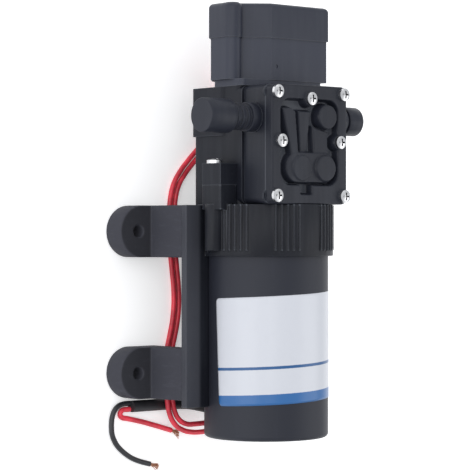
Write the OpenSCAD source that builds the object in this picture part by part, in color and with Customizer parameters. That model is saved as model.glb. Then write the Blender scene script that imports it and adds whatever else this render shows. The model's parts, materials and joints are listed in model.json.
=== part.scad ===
// Twelve volt diaphragm water pump on four rubber feet.
// Each module is drawn in the pump's own axes: x runs from the motor's rear end to the head,
// y towards the inlet side and z up from the motor axis. in_frame() turns them into the frame.

/* [Motor] */
// Outer radius of the motor can
motor_r = 23.2; // [22:0.1:25]
// Length of the motor can
motor_len = 83; // [78:0.5:95]
// Sheet thickness of the can
can_wall = 1.2; // [0.8:0.1:2]
// Rounding of the can's rear edge
can_edge_r = 1.6; // [1.2:0.1:3]
// Radius of the motor shaft
shaft_r = 1.6; // [1.5:0.05:1.7]
// Thickness of the motor's front end plate
end_plate_t = 3.5; // [3:0.1:5]
// Radius of the armature core
armature_r = 14.5; // [12:0.1:15]
// Length of the armature core
armature_len = 35; // [25:1:40]
// Length of the paper label along the motor
label_len = 41; // [30:1:50]
// Angle that the label covers round the motor
label_wrap = 192; // [120:1:195]

/* [Bracket and feet] */
// Length of the ribbed collar round the front of the can
collar_len = 19; // [15:0.5:22]
// Wall of the collar
collar_wall = 1.8; // [1.4:0.1:2.4]
// Depth of the collar's ribs
rib_h = 0.6; // [0.3:0.1:1]
// Height of the motor axis above the surface under the feet
axis_h = 34; // [33:0.5:40]
// Drop from the motor axis to the top of the side rails
rail_drop = 6.6; // [6:0.1:8]
// Thickness of the side rails
rail_t = 3; // [2:0.1:4]
// Distance from the motor axis to the outer edge of a rail
rail_reach = 33; // [32.5:0.1:34]
// Distance between the foot holes along the motor
foot_pitch = 52.7; // [50:0.1:55]
// Distance between the foot holes across the motor
foot_span = 82.4; // [80:0.1:86]
// Width of a foot along the motor
foot_w = 19.3; // [16:0.1:20]
// Height of a foot's outer flange
flange_h = 9.6; // [7:0.1:12]
// Radius of the screw hole in a foot
foot_hole_r = 2.2; // [1.8:0.1:2.6]

/* [Pump head] */
// Length of the pump head along the motor axis
head_len = 43.5; // [42:0.5:50]
// Half the width of the drive housing
head_half_w = 19.5; // [18.5:0.1:21]
// Depth of the drive housing below the motor axis
head_depth = 19.4; // [17:0.1:22]
// Height of the diaphragm's seat above the motor axis
seat_h = 7.2; // [7:0.1:8]
// Thickness of the diaphragm
diaphragm_t = 1.8; // [1.5:0.1:2.4]
// Half the width of the cover
cover_half_w = 18.4; // [18:0.1:19]
// Height of the cover from the diaphragm to its floor
cover_h = 12.2; // [12:0.1:15]
// Height of the cover's rim above its floor
rim_h = 2.7; // [1:0.1:3.2]
// Offset of the crank pin from the shaft
crank_e = 1; // [0.6:0.05:1.1]
// Radius of the crank bearing
crank_bearing_r = 5.5; // [5.2:0.1:5.6]
// Lift of the two valves
valve_lift = 0.8; // [0.4:0.1:1]
// Radius of the outlet spigot
outlet_r = 5.4; // [5:0.1:6]
// Reach of the outlet spigot from the motor axis
outlet_reach = 32; // [28:0.5:40]
// Reach of the inlet's closing cap from the motor axis
cap_reach = 43; // [40:0.5:46]
// Outer radius of the inlet's closing cap
cap_r = 6.15; // [5.8:0.05:7]
// Bore of both ports
port_bore_r = 3.2; // [2.5:0.1:3.5]

/* [Pressure switch] */
// Length of the switch body with its neck
switch_len = 18; // [17:0.5:24]
// Length of the switch lid
lid_len = 12.8; // [11:0.1:16]
// Half the width of the switch body
switch_half_w = 21.4; // [21:0.1:23]
// Wall of the switch body and lid
switch_wall = 2; // [1.5:0.1:2.4]
// Travel of the switch plunger
plunger_travel = 1.2; // [0.6:0.1:1.5]
// Wire of the plunger spring
spring_wire = 0.7; // [0.5:0.05:0.9]

/* [Wires] */
// Outer diameter of each insulated wire
wire_d = 2; // [1.8:0.1:2.2]
// Diameter of the sleeve round the two supply leads
sleeve_d = 4.4; // [4:0.1:4.6]

/* [Hidden] */
$fn = 64;
fit = 0.05;
gap = 0.3;
eps = 0.01;

// The origin lies on the floor in the middle of the four foot holes.
rear_foot_x = 23.9;
origin_x = rear_foot_x + foot_pitch / 2;
foot_xs = [rear_foot_x, rear_foot_x + foot_pitch];

// Stations along the motor axis
plate_x = motor_len;
head_x = plate_x + end_plate_t;
head_end_x = head_x + head_len;
pump_x = head_x + head_len / 2 - 0.25;
neck_len = 2.5;
box_x = head_end_x + neck_len;
lid_x = head_end_x + switch_len;
top_x = lid_x + lid_len;
rail_x0 = 11.7;
rail_x1 = head_x - 0.2;
collar_x = head_x - collar_len;

// Motor interior
can_bore_r = motor_r - can_wall;
bush_r = 4;
bush_len = 5;
bush_wall = 2;
rear_boss_h = 1.2;
shaft_run = 0.03;
core_x = 25;
slots = 7;
slot_w = 3;
slot_root_r = 7.5;
end_turn_len = 7;
commutator_r = 6;
commutator_x = 9.5;
commutator_len = 7;
card_t = 1;
card_x = can_wall + bush_len + 0.5;
brush_w = 3;
brush_x = commutator_x + 2;
brush_end_r = 10;
arm_t = 0.5;
magnet_r = armature_r + 0.8;
magnet_x = core_x - 5;
magnet_len = armature_len + 10;
front_bearing_r = 6.5;
front_bearing_len = 5;
plate_flange_r = motor_r - 0.4;
spigot_len = 2.5;
grommet_x = 6.5;
grommet_r = 3.6;
grommet_flange_r = 4.7;
grommet_drop = motor_r + 1.4;

// Label
label_t = 0.15;
label_x = 12.5;
label_start = 91;

// Bracket
collar_r = motor_r + fit + collar_wall;
ribs_per_group = 5;
rib_groups = 8;
rib_w = 0.9;
rib_step = 5.2;
boss_web = 0.3;
long_screw_r = 1.25;
boss_y = motor_r + fit + boss_web + long_screw_r;
boss_r = 3.7;
lug_wall = 1.2;
lug_reach = boss_y + long_screw_r + lug_wall;
lug_low = 4.5;
lug_high = 7.2;
lug_y = head_half_w + gap;
lug_root = 2;
lug_x = head_x + 7.1;
lug_top_x = lug_x + 7.9;
long_screw_grip = 12;
long_head_r = 3;
long_head_h = 1.9;
cradle_wall = 2.2;
tongue_t = 3;
tongue_len = 12;
tongue_drop = 12;
tongue_y = 29.5;

// Feet
column_y = 26.6;
column_top_y = 32.6;
column_foot_y = 35.5;
foot_r = foot_w / 2;
flange_end_y = foot_span / 2 - 1.4;

// Head
cavity_r = 12;
cavity_len = 32;
cavity_x = head_x + 3.5;
working_r = 12.2;
housing_edge_r = 2.5;
band_len = 18;
band_step = 0.7;
diaphragm_r = 16;
clamp_top = seat_h + diaphragm_t;
cover_floor = clamp_top + cover_h;
rim_top = cover_floor + rim_h;
rim_w = 2;
plate_r = 12.5;
chamber_r = 10;
ceiling_t = 1.6;
ceiling_z = clamp_top + 6.2;
plate_top = ceiling_z + ceiling_t;
gallery_r = 11;
seal_z = clamp_top + 3;
gallery_h = 3.2;
wall_between = 1.6;
valve_y = 5.2;
valve_r = 3.8;
valve_t = 0.8;
valve_stem_r = 0.9;
valve_stem_len = 2.6;
flow_hole_r = 0.8;
flow_hole_pcd_r = 2.4;
cover_screw_r = 1.25;
cover_screw_depth = 7;
cover_head_r = 2.35;
cover_head_h = 1.6;
screw_boss_r = 2.8;
screw_top = rim_top + 1;
cover_screws_at = [
    [head_end_x - 2.9, 16.2], [head_end_x - 2.9, -16.2], [head_end_x - 5, 0],
    [pump_x + 1.4, 14.4], [pump_x + 1.4, -14.4],
    [head_x + 3, 16.5], [head_x + 3, -16.5]];
motor_screw_y = 9;
motor_screw_r = 1.25;
motor_head_r = 2.2;
motor_head_h = 1.8;
cavity_roof = motor_head_r + gap;

// Crank, rod and diaphragm clamp
eccentric_x = pump_x - 8;
eccentric_len = 13;
pin_r = shaft_r + crank_e + 0.5;
hub_r = 4.5;
hub_len = 4.5;
crank_bearing_len = 5;
crank_bearing_x = pump_x - crank_bearing_len / 2;
rod_wall = 1.3;
rod_w = 6;
support_r = 6.5;
support_t = 1.4;
counterweight_r = seat_h - support_t - 0.4;
clamp_t = 0.9;
clamp_screw_r = 1.5;
clamp_head_r = 2.6;
clamp_head_h = 1.2;
clamp_screw_depth = 2.4;

// Ports
port_x = pump_x + 10;
port_z = clamp_top + 5.6;
ring_y = cover_half_w + 0.8;
riser_y = 11.2;
riser_r = 2;
socket_r = 4.6;
socket_y = 12.5;
ring_r = 5.35;
port_boss_r = ring_r + 0.15;
outlet_ring_y = 23.8;
outlet_groove_r = 4.4;
outlet_groove_w = 0.8;
inlet_ring_y = 23;
inlet_neck_r = 4.4;
ridge_r = 5;
ridge_w = 1.1;
ridge_pitch = 2.4;
inlet_reach = cap_reach - 3;
cap_len = 12;
cap_y = cap_reach - cap_len;
cap_end_t = 1.5;
seal_y = 15.5;
seal_d = 1;

// Switch
switch_low = -12;
switch_high = 10;
neck_low = -7.5;
neck_step = 1.6;
column_at = [[18.2, 2], [-18.2, 5.8], [15.2, -8.4], [-18.2, -8.4]];
low_corner_z = -6.5;
low_corner_y = 15.5;
column_r = 3.2;
lid_screw_r = 1.1;
lid_head_r = 2.2;
lid_head_h = 1.5;
lid_over = 0.5;
plunger_y = -6;
plunger_z = 2;
membrane_r = 7;
membrane_t = 1;
membrane_x = box_x + 3;
plunger_base_r = 5;
plunger_base_t = 2;
plunger_x = membrane_x + membrane_t;
plunger_stem_r = 2;
plunger_stem_len = 6;
button_y = 6;
button_z = -3;
arm_w = 3;
spring_r = 3.6;
spring_turns = 6;
adjuster_r = 4.6;
adjuster_thread_r = 4;
adjuster_x = lid_x + 3;
spring_x0 = plunger_x + plunger_base_t;
spring_len = adjuster_x - spring_x0;
micro_x = spring_x0 + 3;
micro_len = 6;
micro_y0 = 3.5;
micro_y1 = 11.8;
micro_z0 = -8;
micro_z1 = 0.5;
button_r = 0.9;
shelf_y = 7.6;
mark_inset = 5;
mark_y = 3.5;
mark_r = 0.8;
mark_depth = 0.3;
shelf_t = 1.2;
terminal_w = 1.6;
terminal_drop = 1.8;
terminal_t = 0.6;
outlet_pipe_r = 1;
pipe_inset = 2.5;
pipe_x = head_end_x - pipe_inset;
pipe_z = plate_top + 2;
wire_exit_inset = 6;
wire_exit_x = box_x + wire_exit_inset;
wire_exit_y = 4;
switch_grommet_r = 2.6;

// Shared shapes

module in_frame() {
    translate([origin_x, 0, axis_h]) rotate([0, 0, 180]) children();
}

// Round bar along the motor axis
module along_x(r, x0, x1) {
    translate([x0, 0, 0]) rotate([0, 90, 0]) cylinder(r = r, h = x1 - x0);
}

// Round bar across the head
module along_y(r, y0, y1) {
    translate([0, y0, 0]) rotate([-90, 0, 0]) cylinder(r = r, h = y1 - y0);
}

// Outline in y and z, drawn out along the motor axis
module extrude_x(x0, x1) {
    translate([x0, 0, 0]) rotate([90, 0, 90]) linear_extrude(x1 - x0) children();
}

module box(low, high) {
    translate(low) cube(high - low);
}

module rounded_square(low, high, r) {
    translate([low[0] + r, low[1]]) square([high[0] - low[0] - 2 * r, high[1] - low[1]]);
    translate([low[0], low[1] + r]) square([high[0] - low[0], high[1] - low[1] - 2 * r]);
    for (x = [low[0] + r, high[0] - r], y = [low[1] + r, high[1] - r])
        translate([x, y]) circle(r);
}

// Flat bar with round ends between two points of the cover, given in x and y
module round_bar(p, q, r, z0, z1) {
    hull() for (end = [p, q])
        translate([end[0], end[1], z0]) cylinder(r = r, h = z1 - z0, $fn = 32);
}

// Pan head with a cross recess, its seat at z = 0
module pan_head(r, h) {
    slot = r * 0.26;
    difference() {
        intersection() {
            cylinder(r = r, h = h);
            translate([0, 0, h - 2.2 * r]) sphere(2.2 * r);
        }
        for (turn = [0, 90]) rotate([0, 0, turn])
            translate([-r * 0.6, -slot / 2, h - r * 0.35]) cube([r * 1.2, slot, r]);
    }
}

module ring(r_in, r_out, x0, x1) {
    difference() {
        along_x(r_out, x0, x1);
        along_x(r_in, x0 - eps, x1 + eps);
    }
}

// Tube swept along a route, with its normal carried from ring to ring
wire_sides = 8;

function unit(v) = v / norm(v);

function tangent(p, i) = unit(p[min(i + 1, len(p) - 1)] - p[max(i - 1, 0)]);

function carried(p, i, n) =
    let (t = tangent(p, i), m = unit(n - t * (n * t)))
    i == len(p) - 1 ? [m] : concat([m], carried(p, i + 1, m));

module swept_tube(p, r, start, sides = wire_sides) {
    n = carried(p, 0, start);
    last = len(p) - 1;
    points = [for (i = [0 : last], k = [0 : sides - 1])
        let (t = tangent(p, i), b = cross(t, n[i]), a = 360 * k / sides)
        p[i] + r * (cos(a) * n[i] + sin(a) * b)];
    walls = [for (i = [0 : last - 1], k = [0 : sides - 1])
        let (a = i * sides + k, b = i * sides + (k + 1) % sides)
        each [[a, a + sides, b], [b, a + sides, b + sides]]];
    ends = [for (k = [1 : sides - 2])
        each [[0, k, k + 1], [last * sides, last * sides + k + 1, last * sides + k]]];
    polyhedron(points, concat(walls, ends));
}

// Motor

module motor_can() color([0.16, 0.16, 0.18]) in_frame() difference() {
    union() {
        difference() {
            rotate([0, 90, 0]) rotate_extrude() {
                square([motor_r - can_edge_r, motor_len]);
                translate([0, can_edge_r]) square([motor_r, motor_len - can_edge_r]);
                translate([motor_r - can_edge_r, can_edge_r]) circle(can_edge_r);
            }
            along_x(can_bore_r, can_wall, motor_len + eps);
        }
        along_x(bush_r + bush_wall, -rear_boss_h, can_wall + bush_len);
    }
    along_x(bush_r, can_wall, can_wall + bush_len + eps);
    translate([grommet_x, 0, -motor_r - eps]) cylinder(r = grommet_r, h = can_wall * 3);
}

module rating_label() color("white") in_frame()
    translate([label_x, 0, 0]) rotate([0, 90, 0]) rotate([0, 0, 180 - label_start])
        rotate_extrude(angle = label_wrap)
            translate([motor_r, 0]) square([label_t, label_len]);

module motor_end_plate() color("silver") in_frame() difference() {
    union() {
        along_x(plate_flange_r, plate_x, head_x);
        along_x(can_bore_r - fit, plate_x - spigot_len, plate_x);
    }
    along_x(front_bearing_r, head_x - front_bearing_len, head_x + eps);
    along_x(front_bearing_r - 1, plate_x - spigot_len - eps, head_x);
    for (y = [-motor_screw_y, motor_screw_y]) translate([0, y, 0])
        along_x(motor_screw_r, plate_x - spigot_len - eps, head_x + eps);
}

module field_magnets() color("dimgray") in_frame()
    for (side = [0, 180]) rotate([side, 0, 0]) translate([magnet_x, 0, 0])
        rotate([0, 90, 0]) rotate([0, 0, 20]) rotate_extrude(angle = 140)
            translate([magnet_r, 0]) square([can_bore_r - magnet_r, magnet_len]);

module slot_profile(w, r0, r1) {
    for (i = [0 : slots - 1]) rotate(360 * i / slots)
        translate([r0, -w / 2]) square([r1 - r0, w]);
}

module armature_core() color("gray") in_frame() extrude_x(core_x, core_x + armature_len)
    difference() {
        circle(armature_r);
        slot_profile(slot_w, slot_root_r, armature_r + 1);
        circle(shaft_r);
    }

module armature_winding() color("peru") in_frame() {
    turn_r = armature_r - 1.5;
    x0 = core_x - end_turn_len;
    x1 = core_x + armature_len + end_turn_len;
    extrude_x(x0, x1) slot_profile(slot_w - 2 * fit, slot_root_r + fit, turn_r - fit);
    for (x = [x0, x1 - end_turn_len]) ring(slot_root_r - 2, turn_r, x, x + end_turn_len);
}

module commutator() color("chocolate") in_frame() extrude_x(commutator_x, commutator_x + commutator_len)
    difference() {
        circle(commutator_r);
        circle(shaft_r);
        slot_profile(0.5, commutator_r - 0.8, commutator_r + 1);
    }

module motor_shaft() color("silver") in_frame()
    along_x(shaft_r, can_wall + 0.5, eccentric_x + eccentric_len);

module rear_bushing() color("goldenrod") in_frame()
    ring(shaft_r + shaft_run, bush_r, can_wall, can_wall + bush_len);

module front_bearing() color("silver") in_frame()
    ring(shaft_r + shaft_run, front_bearing_r, head_x - front_bearing_len, head_x);

module brush_card() color("saddlebrown") in_frame()
    ring(bush_r + bush_wall + gap, can_bore_r, card_x, card_x + card_t);

module brush_arms() color("darkgoldenrod") in_frame()
    for (side = [0, 180]) rotate([side, 0, 0])
        box([card_x + card_t, brush_end_r, -brush_w / 2],
            [brush_x + brush_w, brush_end_r + arm_t, brush_w / 2]);

module carbon_brushes() color([0.2, 0.2, 0.2]) in_frame()
    for (side = [0, 180]) rotate([side, 0, 0])
        box([brush_x, commutator_r + fit, -brush_w / 2],
            [brush_x + brush_w, brush_end_r, brush_w / 2]);

module motor_grommet() color([0.1, 0.1, 0.1]) in_frame() {
    translate([grommet_x, 0, 0]) difference() {
        union() {
            translate([0, 0, -motor_r]) cylinder(r = grommet_r, h = can_wall - fit);
            translate([0, 0, -grommet_drop]) cylinder(r = grommet_flange_r, h = 2.5);
        }
        difference() {
            along_x(motor_r, -10, 10);
            translate([0, 0, -motor_r - 1]) cylinder(r = grommet_r, h = can_wall + 3);
        }
    }
}

// Bracket and feet

module rib_profile() {
    for (g = [0 : rib_groups - 1], i = [0 : ribs_per_group - 1])
        rotate(360 / rib_groups * (g + 0.5) + rib_step * (i - (ribs_per_group - 1) / 2))
            translate([collar_r - 0.4, -rib_w / 2]) square([rib_h + 0.4, rib_w]);
}

module motor_bracket() color([0.2, 0.2, 0.23]) in_frame() difference() {
    union() {
        along_x(collar_r, collar_x, head_x);
        extrude_x(collar_x + 2, head_x) rib_profile();
        for (side = [-1, 1]) {
            translate([0, side * boss_y, 0]) along_x(boss_r, collar_x + 2, head_x);
            box([head_x - lug_root, side > 0 ? lug_y : -lug_reach, -lug_low],
                [lug_x, side > 0 ? lug_reach : -lug_y, lug_high - 1]);
            box([rail_x0, side > 0 ? motor_r - 3 : -rail_reach, -rail_drop - rail_t],
                [rail_x1, side > 0 ? rail_reach : 3 - motor_r, -rail_drop]);
            for (x = foot_xs)
                box([x - tongue_len / 2, side * tongue_y - tongue_t / 2,
                        -rail_drop - rail_t - tongue_drop],
                    [x + tongue_len / 2, side * tongue_y + tongue_t / 2, -rail_drop - rail_t + eps]);
        }
        intersection() {
            union() {
                along_x(motor_r + fit + cradle_wall, rail_x0, collar_x + 1);
                along_x(collar_r + cradle_wall, collar_x, rail_x1);
            }
            box([0, -rail_reach, -axis_h], [head_x, rail_reach, -rail_drop - rail_t / 2]);
        }
    }
    along_x(motor_r + fit, 0, plate_x + eps);
    along_x(plate_flange_r + fit, plate_x, head_x);
    for (side = [-1, 1]) translate([0, side * boss_y, 0])
        along_x(long_screw_r, head_x - long_screw_grip, lug_x + 1);
}

// Rubber foot: a flange with a round end, and a block that the rail's tongue drops into
module foot(x, side) color([0.13, 0.13, 0.14]) in_frame() {
    floor_z = -axis_h;
    under_rail = -rail_drop - rail_t;
    translate([x, 0, 0]) mirror([0, side > 0 ? 0 : 1, 0]) difference() {
        union() {
            translate([0, 0, floor_z]) linear_extrude(flange_h) {
                translate([-foot_r, column_y]) square([foot_w, flange_end_y - column_y]);
                translate([0, flange_end_y]) circle(foot_r);
            }
            extrude_x(-foot_r, foot_r) polygon([[column_y, floor_z], [column_foot_y, floor_z],
                [column_foot_y, floor_z + flange_h], [column_top_y, under_rail], [column_y, under_rail]]);
        }
        box([-tongue_len / 2 - fit, tongue_y - tongue_t / 2 - fit, under_rail - tongue_drop - gap],
            [tongue_len / 2 + fit, tongue_y + tongue_t / 2 + fit, under_rail + 1]);
        translate([0, foot_span / 2, floor_z - 1]) cylinder(r = foot_hole_r, h = flange_h + 2);
    }
}

module front_left_foot() foot(foot_xs[1], 1);
module front_right_foot() foot(foot_xs[1], -1);
module rear_left_foot() foot(foot_xs[0], 1);
module rear_right_foot() foot(foot_xs[0], -1);

// Pump head

module footprint(half_w, r, z0, z1) {
    translate([0, 0, z0]) linear_extrude(z1 - z0)
        rounded_square([head_x, -half_w], [head_end_x, half_w], r);
}

module cover_screw_holes(r, z0, z1) {
    for (p = cover_screws_at) translate([p[0], p[1], z0]) cylinder(r = r, h = z1 - z0);
}

module drive_housing() color([0.2, 0.2, 0.23]) in_frame() difference() {
    union() {
        extrude_x(head_x, head_end_x)
            rounded_square([-head_half_w, -head_depth], [head_half_w, clamp_top - 1], housing_edge_r);
        footprint(head_half_w, housing_edge_r, 0, clamp_top);
        extrude_x(head_end_x - band_len, head_end_x)
            rounded_square([-head_half_w - band_step, -head_depth - band_step],
                [head_half_w + band_step, 0], housing_edge_r);
        for (side = [-1, 1])
            box([lug_x, side > 0 ? head_half_w - 0.5 : -lug_reach, -lug_low],
                [lug_top_x, side > 0 ? lug_reach : 0.5 - head_half_w, lug_high - 1]);
    }
    intersection() {
        along_x(cavity_r, cavity_x, cavity_x + cavity_len);
        box([0, -cavity_r, -cavity_r], [head_end_x, cavity_r, cavity_roof]);
    }
    translate([pump_x, 0, -3]) cylinder(r = working_r, h = seat_h + 3 + eps);
    translate([pump_x, 0, seat_h]) cylinder(r = diaphragm_r + fit, h = diaphragm_t + 1);
    along_x(hub_r, head_x - eps, cavity_x + eps);
    for (y = [-motor_screw_y, motor_screw_y]) translate([0, y, 0])
        along_x(motor_screw_r + fit, head_x - eps, cavity_x + eps);
    for (side = [-1, 1]) translate([0, side * boss_y, 0])
        along_x(long_screw_r + fit, lug_x - eps, lug_top_x + eps);
    cover_screw_holes(cover_screw_r, seat_h - cover_screw_depth, clamp_top + 1);
    translate([pipe_x, plunger_y, plunger_z]) cylinder(r = outlet_pipe_r, h = clamp_top);
    translate([0, plunger_y, plunger_z]) along_x(outlet_pipe_r, pipe_x, head_end_x + eps);
}

module long_screws() color("silver") in_frame() for (side = [-1, 1])
    translate([0, side * boss_y, 0]) {
        along_x(long_screw_r, head_x - long_screw_grip, lug_top_x);
        translate([lug_top_x, 0, 0]) rotate([0, 90, 0]) pan_head(long_head_r, long_head_h);
    }

module motor_screws() color("silver") in_frame() for (y = [-motor_screw_y, motor_screw_y])
    translate([0, y, 0]) {
        along_x(motor_screw_r, plate_x, cavity_x);
        translate([cavity_x, 0, 0]) rotate([0, 90, 0]) pan_head(motor_head_r, motor_head_h);
    }

// The crank pin stands below the shaft, so the diaphragm is at the bottom of its stroke.
module eccentric() color("darkgray") in_frame() difference() {
    union() {
        along_x(hub_r, eccentric_x, eccentric_x + hub_len);
        translate([0, 0, -crank_e]) along_x(pin_r, eccentric_x + hub_len, eccentric_x + eccentric_len);
        intersection() {
            along_x(counterweight_r, eccentric_x, eccentric_x + hub_len - 1);
            box([eccentric_x, -counterweight_r, 0],
                [eccentric_x + hub_len, counterweight_r, counterweight_r]);
        }
    }
    along_x(shaft_r, eccentric_x - eps, eccentric_x + eccentric_len + eps);
    translate([eccentric_x + hub_len / 2 - 0.5, 0, -hub_r - 1]) cylinder(r = 1.2, h = hub_r);
}

module grub_screw() color("dimgray") in_frame()
    translate([eccentric_x + hub_len / 2 - 0.5, 0, -hub_r]) cylinder(r = 1.2, h = hub_r - shaft_r);

module crank_bearing() color("silver") in_frame() translate([0, 0, -crank_e])
    ring(pin_r + shaft_run, crank_bearing_r, crank_bearing_x, crank_bearing_x + crank_bearing_len);

module connecting_rod() color([0.85, 0.85, 0.8]) in_frame() difference() {
    union() {
        translate([0, 0, -crank_e])
            along_x(crank_bearing_r + rod_wall, crank_bearing_x, crank_bearing_x + crank_bearing_len);
        box([crank_bearing_x, -rod_w / 2, 0],
            [crank_bearing_x + crank_bearing_len, rod_w / 2, seat_h - support_t / 2]);
        translate([pump_x, 0, seat_h - support_t]) cylinder(r = support_r, h = support_t);
    }
    translate([0, 0, -crank_e])
        along_x(crank_bearing_r, crank_bearing_x - 5, crank_bearing_x + crank_bearing_len + 5);
    translate([pump_x, 0, seat_h - clamp_screw_depth])
        cylinder(r = clamp_screw_r, h = clamp_screw_depth + 1);
}

module diaphragm() color([0.1, 0.1, 0.1]) in_frame() difference() {
    translate([pump_x, 0, seat_h]) cylinder(r = diaphragm_r, h = diaphragm_t);
    translate([pump_x, 0, seat_h - 1]) cylinder(r = clamp_screw_r, h = diaphragm_t + 2);
    cover_screw_holes(cover_screw_r + 0.15, seat_h - 1, clamp_top + 1);
}

module diaphragm_washer() color("silver") in_frame() translate([pump_x, 0, clamp_top]) difference() {
    cylinder(r = support_r, h = clamp_t);
    translate([0, 0, -1]) cylinder(r = clamp_screw_r, h = clamp_t + 2);
}

module diaphragm_screw() color("silver") in_frame() translate([pump_x, 0, 0]) {
    translate([0, 0, seat_h - clamp_screw_depth])
        cylinder(r = clamp_screw_r, h = clamp_top + clamp_t - seat_h + clamp_screw_depth);
    translate([0, 0, clamp_top + clamp_t]) pan_head(clamp_head_r, clamp_head_h);
}

module valve_plate() color("ivory") in_frame() translate([pump_x, 0, 0]) difference() {
    translate([0, 0, clamp_top]) cylinder(r = plate_r, h = plate_top - clamp_top);
    translate([0, 0, clamp_top - 1]) cylinder(r = chamber_r, h = ceiling_z - clamp_top + 1);
    translate([0, 0, seal_z]) rotate_extrude()
        translate([plate_r - seal_d, -seal_d / 2]) square([seal_d + 1, seal_d]);
    for (y = [-valve_y, valve_y]) translate([0, y, ceiling_z - 1]) {
        cylinder(r = valve_stem_r + fit, h = ceiling_t + 2);
        for (turn = [45 : 90 : 315]) rotate([0, 0, turn]) translate([flow_hole_pcd_r, 0, 0])
            cylinder(r = flow_hole_r, h = ceiling_t + 2);
    }
}

// Disc and stem of a valve, the disc on the side that z points to
module valve(z, up) color("dimgray") in_frame() translate([pump_x, up > 0 ? -valve_y : valve_y, z])
    mirror([0, 0, up > 0 ? 0 : 1]) {
        cylinder(r = valve_r, h = valve_t);
        translate([0, 0, -valve_stem_len]) cylinder(r = valve_stem_r, h = valve_stem_len);
    }

module inlet_valve() valve(ceiling_z, -1);
module outlet_valve() valve(plate_top, 1);

module plate_seal() color([0.1, 0.1, 0.1]) in_frame() translate([pump_x, 0, seal_z])
    rotate_extrude() translate([plate_r - seal_d / 2, 0]) circle(seal_d / 2);

module gallery(side) {
    translate([pump_x, 0, plate_top - eps]) intersection() {
        cylinder(r = gallery_r, h = gallery_h);
        translate([-gallery_r, side > 0 ? wall_between / 2 : -gallery_r, -1])
            cube([2 * gallery_r, gallery_r - wall_between / 2, gallery_h + 2]);
    }
}

// Raised shapes on the cover's outer face, set out from the middle of the pump
boss_x = pump_x - 8.6;
boss_end_r = 6.4;
boss_end_y = 5.8;
boss_disc_r = 3.8;
leg_foot = [boss_x, 7.4];
leg_top = [pump_x + 12, 9.2];
leg_r = 3;
duct_foot = [boss_x, -5.3];
duct_top = [pump_x + 8, -5.6];
duct_r = 4;
duct_disc_at = [pump_x + 10, -8.8];
duct_disc_r = 4.4;
stub_r = 1.4;
stub_len = 5;
relief_sink = 1;

module cover_relief() {
    low = cover_floor - relief_sink;
    difference() {
        footprint(cover_half_w, housing_edge_r, low, rim_top);
        translate([0, 0, low - 1]) linear_extrude(rim_h + relief_sink + 2)
            rounded_square([head_x + rim_w, -cover_half_w + rim_w],
                [head_end_x - rim_w, cover_half_w - rim_w], 2);
    }
    round_bar([boss_x, boss_end_y], [boss_x, -boss_end_y], boss_end_r, low, rim_top - 0.3);
    for (side = [-1, 1]) translate([boss_x, side * boss_end_y, cover_floor])
        cylinder(r = boss_disc_r, h = side > 0 ? rim_h + 0.4 : rim_h + 1.5);
    round_bar(leg_foot, leg_top, leg_r, low, rim_top + 0.2);
    round_bar(duct_foot, duct_top, duct_r, low, rim_top);
    translate([duct_disc_at[0], duct_disc_at[1], cover_floor]) cylinder(r = duct_disc_r, h = rim_h + 1.4);
    round_bar(cover_screws_at[2], cover_screws_at[2] - [stub_len, 0], stub_r, low, rim_top);
    for (p = cover_screws_at) translate([p[0], p[1], low])
        cylinder(r = screw_boss_r, h = screw_top - low);
}

module pump_cover() color([0.2, 0.2, 0.23]) in_frame() difference() {
    union() {
        footprint(cover_half_w, housing_edge_r, clamp_top, cover_floor);
        cover_relief();
        for (side = [-1, 1]) translate([port_x, 0, port_z])
            along_y(port_boss_r, side > 0 ? socket_y : -ring_y, side > 0 ? ring_y : -socket_y);
    }
    translate([pump_x, 0, clamp_top - 1]) cylinder(r = plate_r + fit, h = plate_top - clamp_top + 1);
    for (side = [-1, 1]) {
        gallery(side);
        translate([port_x, 0, port_z]) {
            along_y(socket_r, side > 0 ? socket_y : -cover_half_w - 2, side > 0 ? cover_half_w + 2 : -socket_y);
            along_y(port_bore_r, side > 0 ? riser_y : -socket_y - eps, side > 0 ? socket_y + eps : -riser_y);
            translate([0, side * riser_y, 0]) cylinder(r = riser_r, h = pipe_z - port_z);
        }
        translate([port_x, 0, pipe_z]) along_y(riser_r - 0.3, side > 0 ? 1 : -riser_y, side > 0 ? riser_y : -1);
    }
    cover_screw_holes(cover_screw_r + fit, clamp_top - 1, screw_top + 3);
    translate([0, plunger_y, pipe_z]) along_x(outlet_pipe_r, pump_x + 6, pipe_x);
    translate([pipe_x, plunger_y, clamp_top - 1]) cylinder(r = outlet_pipe_r, h = pipe_z - clamp_top + 1);
}

module cover_screws() color("silver") in_frame() for (p = cover_screws_at)
    translate([p[0], p[1], 0]) {
        translate([0, 0, seat_h - cover_screw_depth])
            cylinder(r = cover_screw_r, h = screw_top - seat_h + cover_screw_depth);
        translate([0, 0, screw_top]) pan_head(cover_head_r, cover_head_h);
    }

// Turned shape of a port, from its spigot in the cover outwards
module port(side, steps, reach) color([0.2, 0.2, 0.23]) in_frame()
    translate([port_x, 0, port_z]) rotate([side > 0 ? -90 : 90, 0, 0]) difference() {
        union() {
            translate([0, 0, socket_y]) cylinder(r = socket_r - fit, h = ring_y - socket_y);
            for (s = steps) translate([0, 0, s[1]]) cylinder(r = s[0], h = s[2] - s[1]);
        }
        translate([0, 0, socket_y - 1]) cylinder(r = port_bore_r, h = reach - socket_y + 2);
        translate([0, 0, seal_y]) rotate_extrude()
            translate([socket_r - seal_d, -seal_d / 2]) square([seal_d + 1, seal_d]);
    }

module inlet_port() port(1, concat(
    [[ring_r, ring_y, inlet_ring_y], [inlet_neck_r, inlet_ring_y, inlet_reach]],
    [for (y = [inlet_ring_y + ridge_w : ridge_pitch : cap_y - 1]) [ridge_r, y, y + ridge_w]]),
    inlet_reach);

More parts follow.
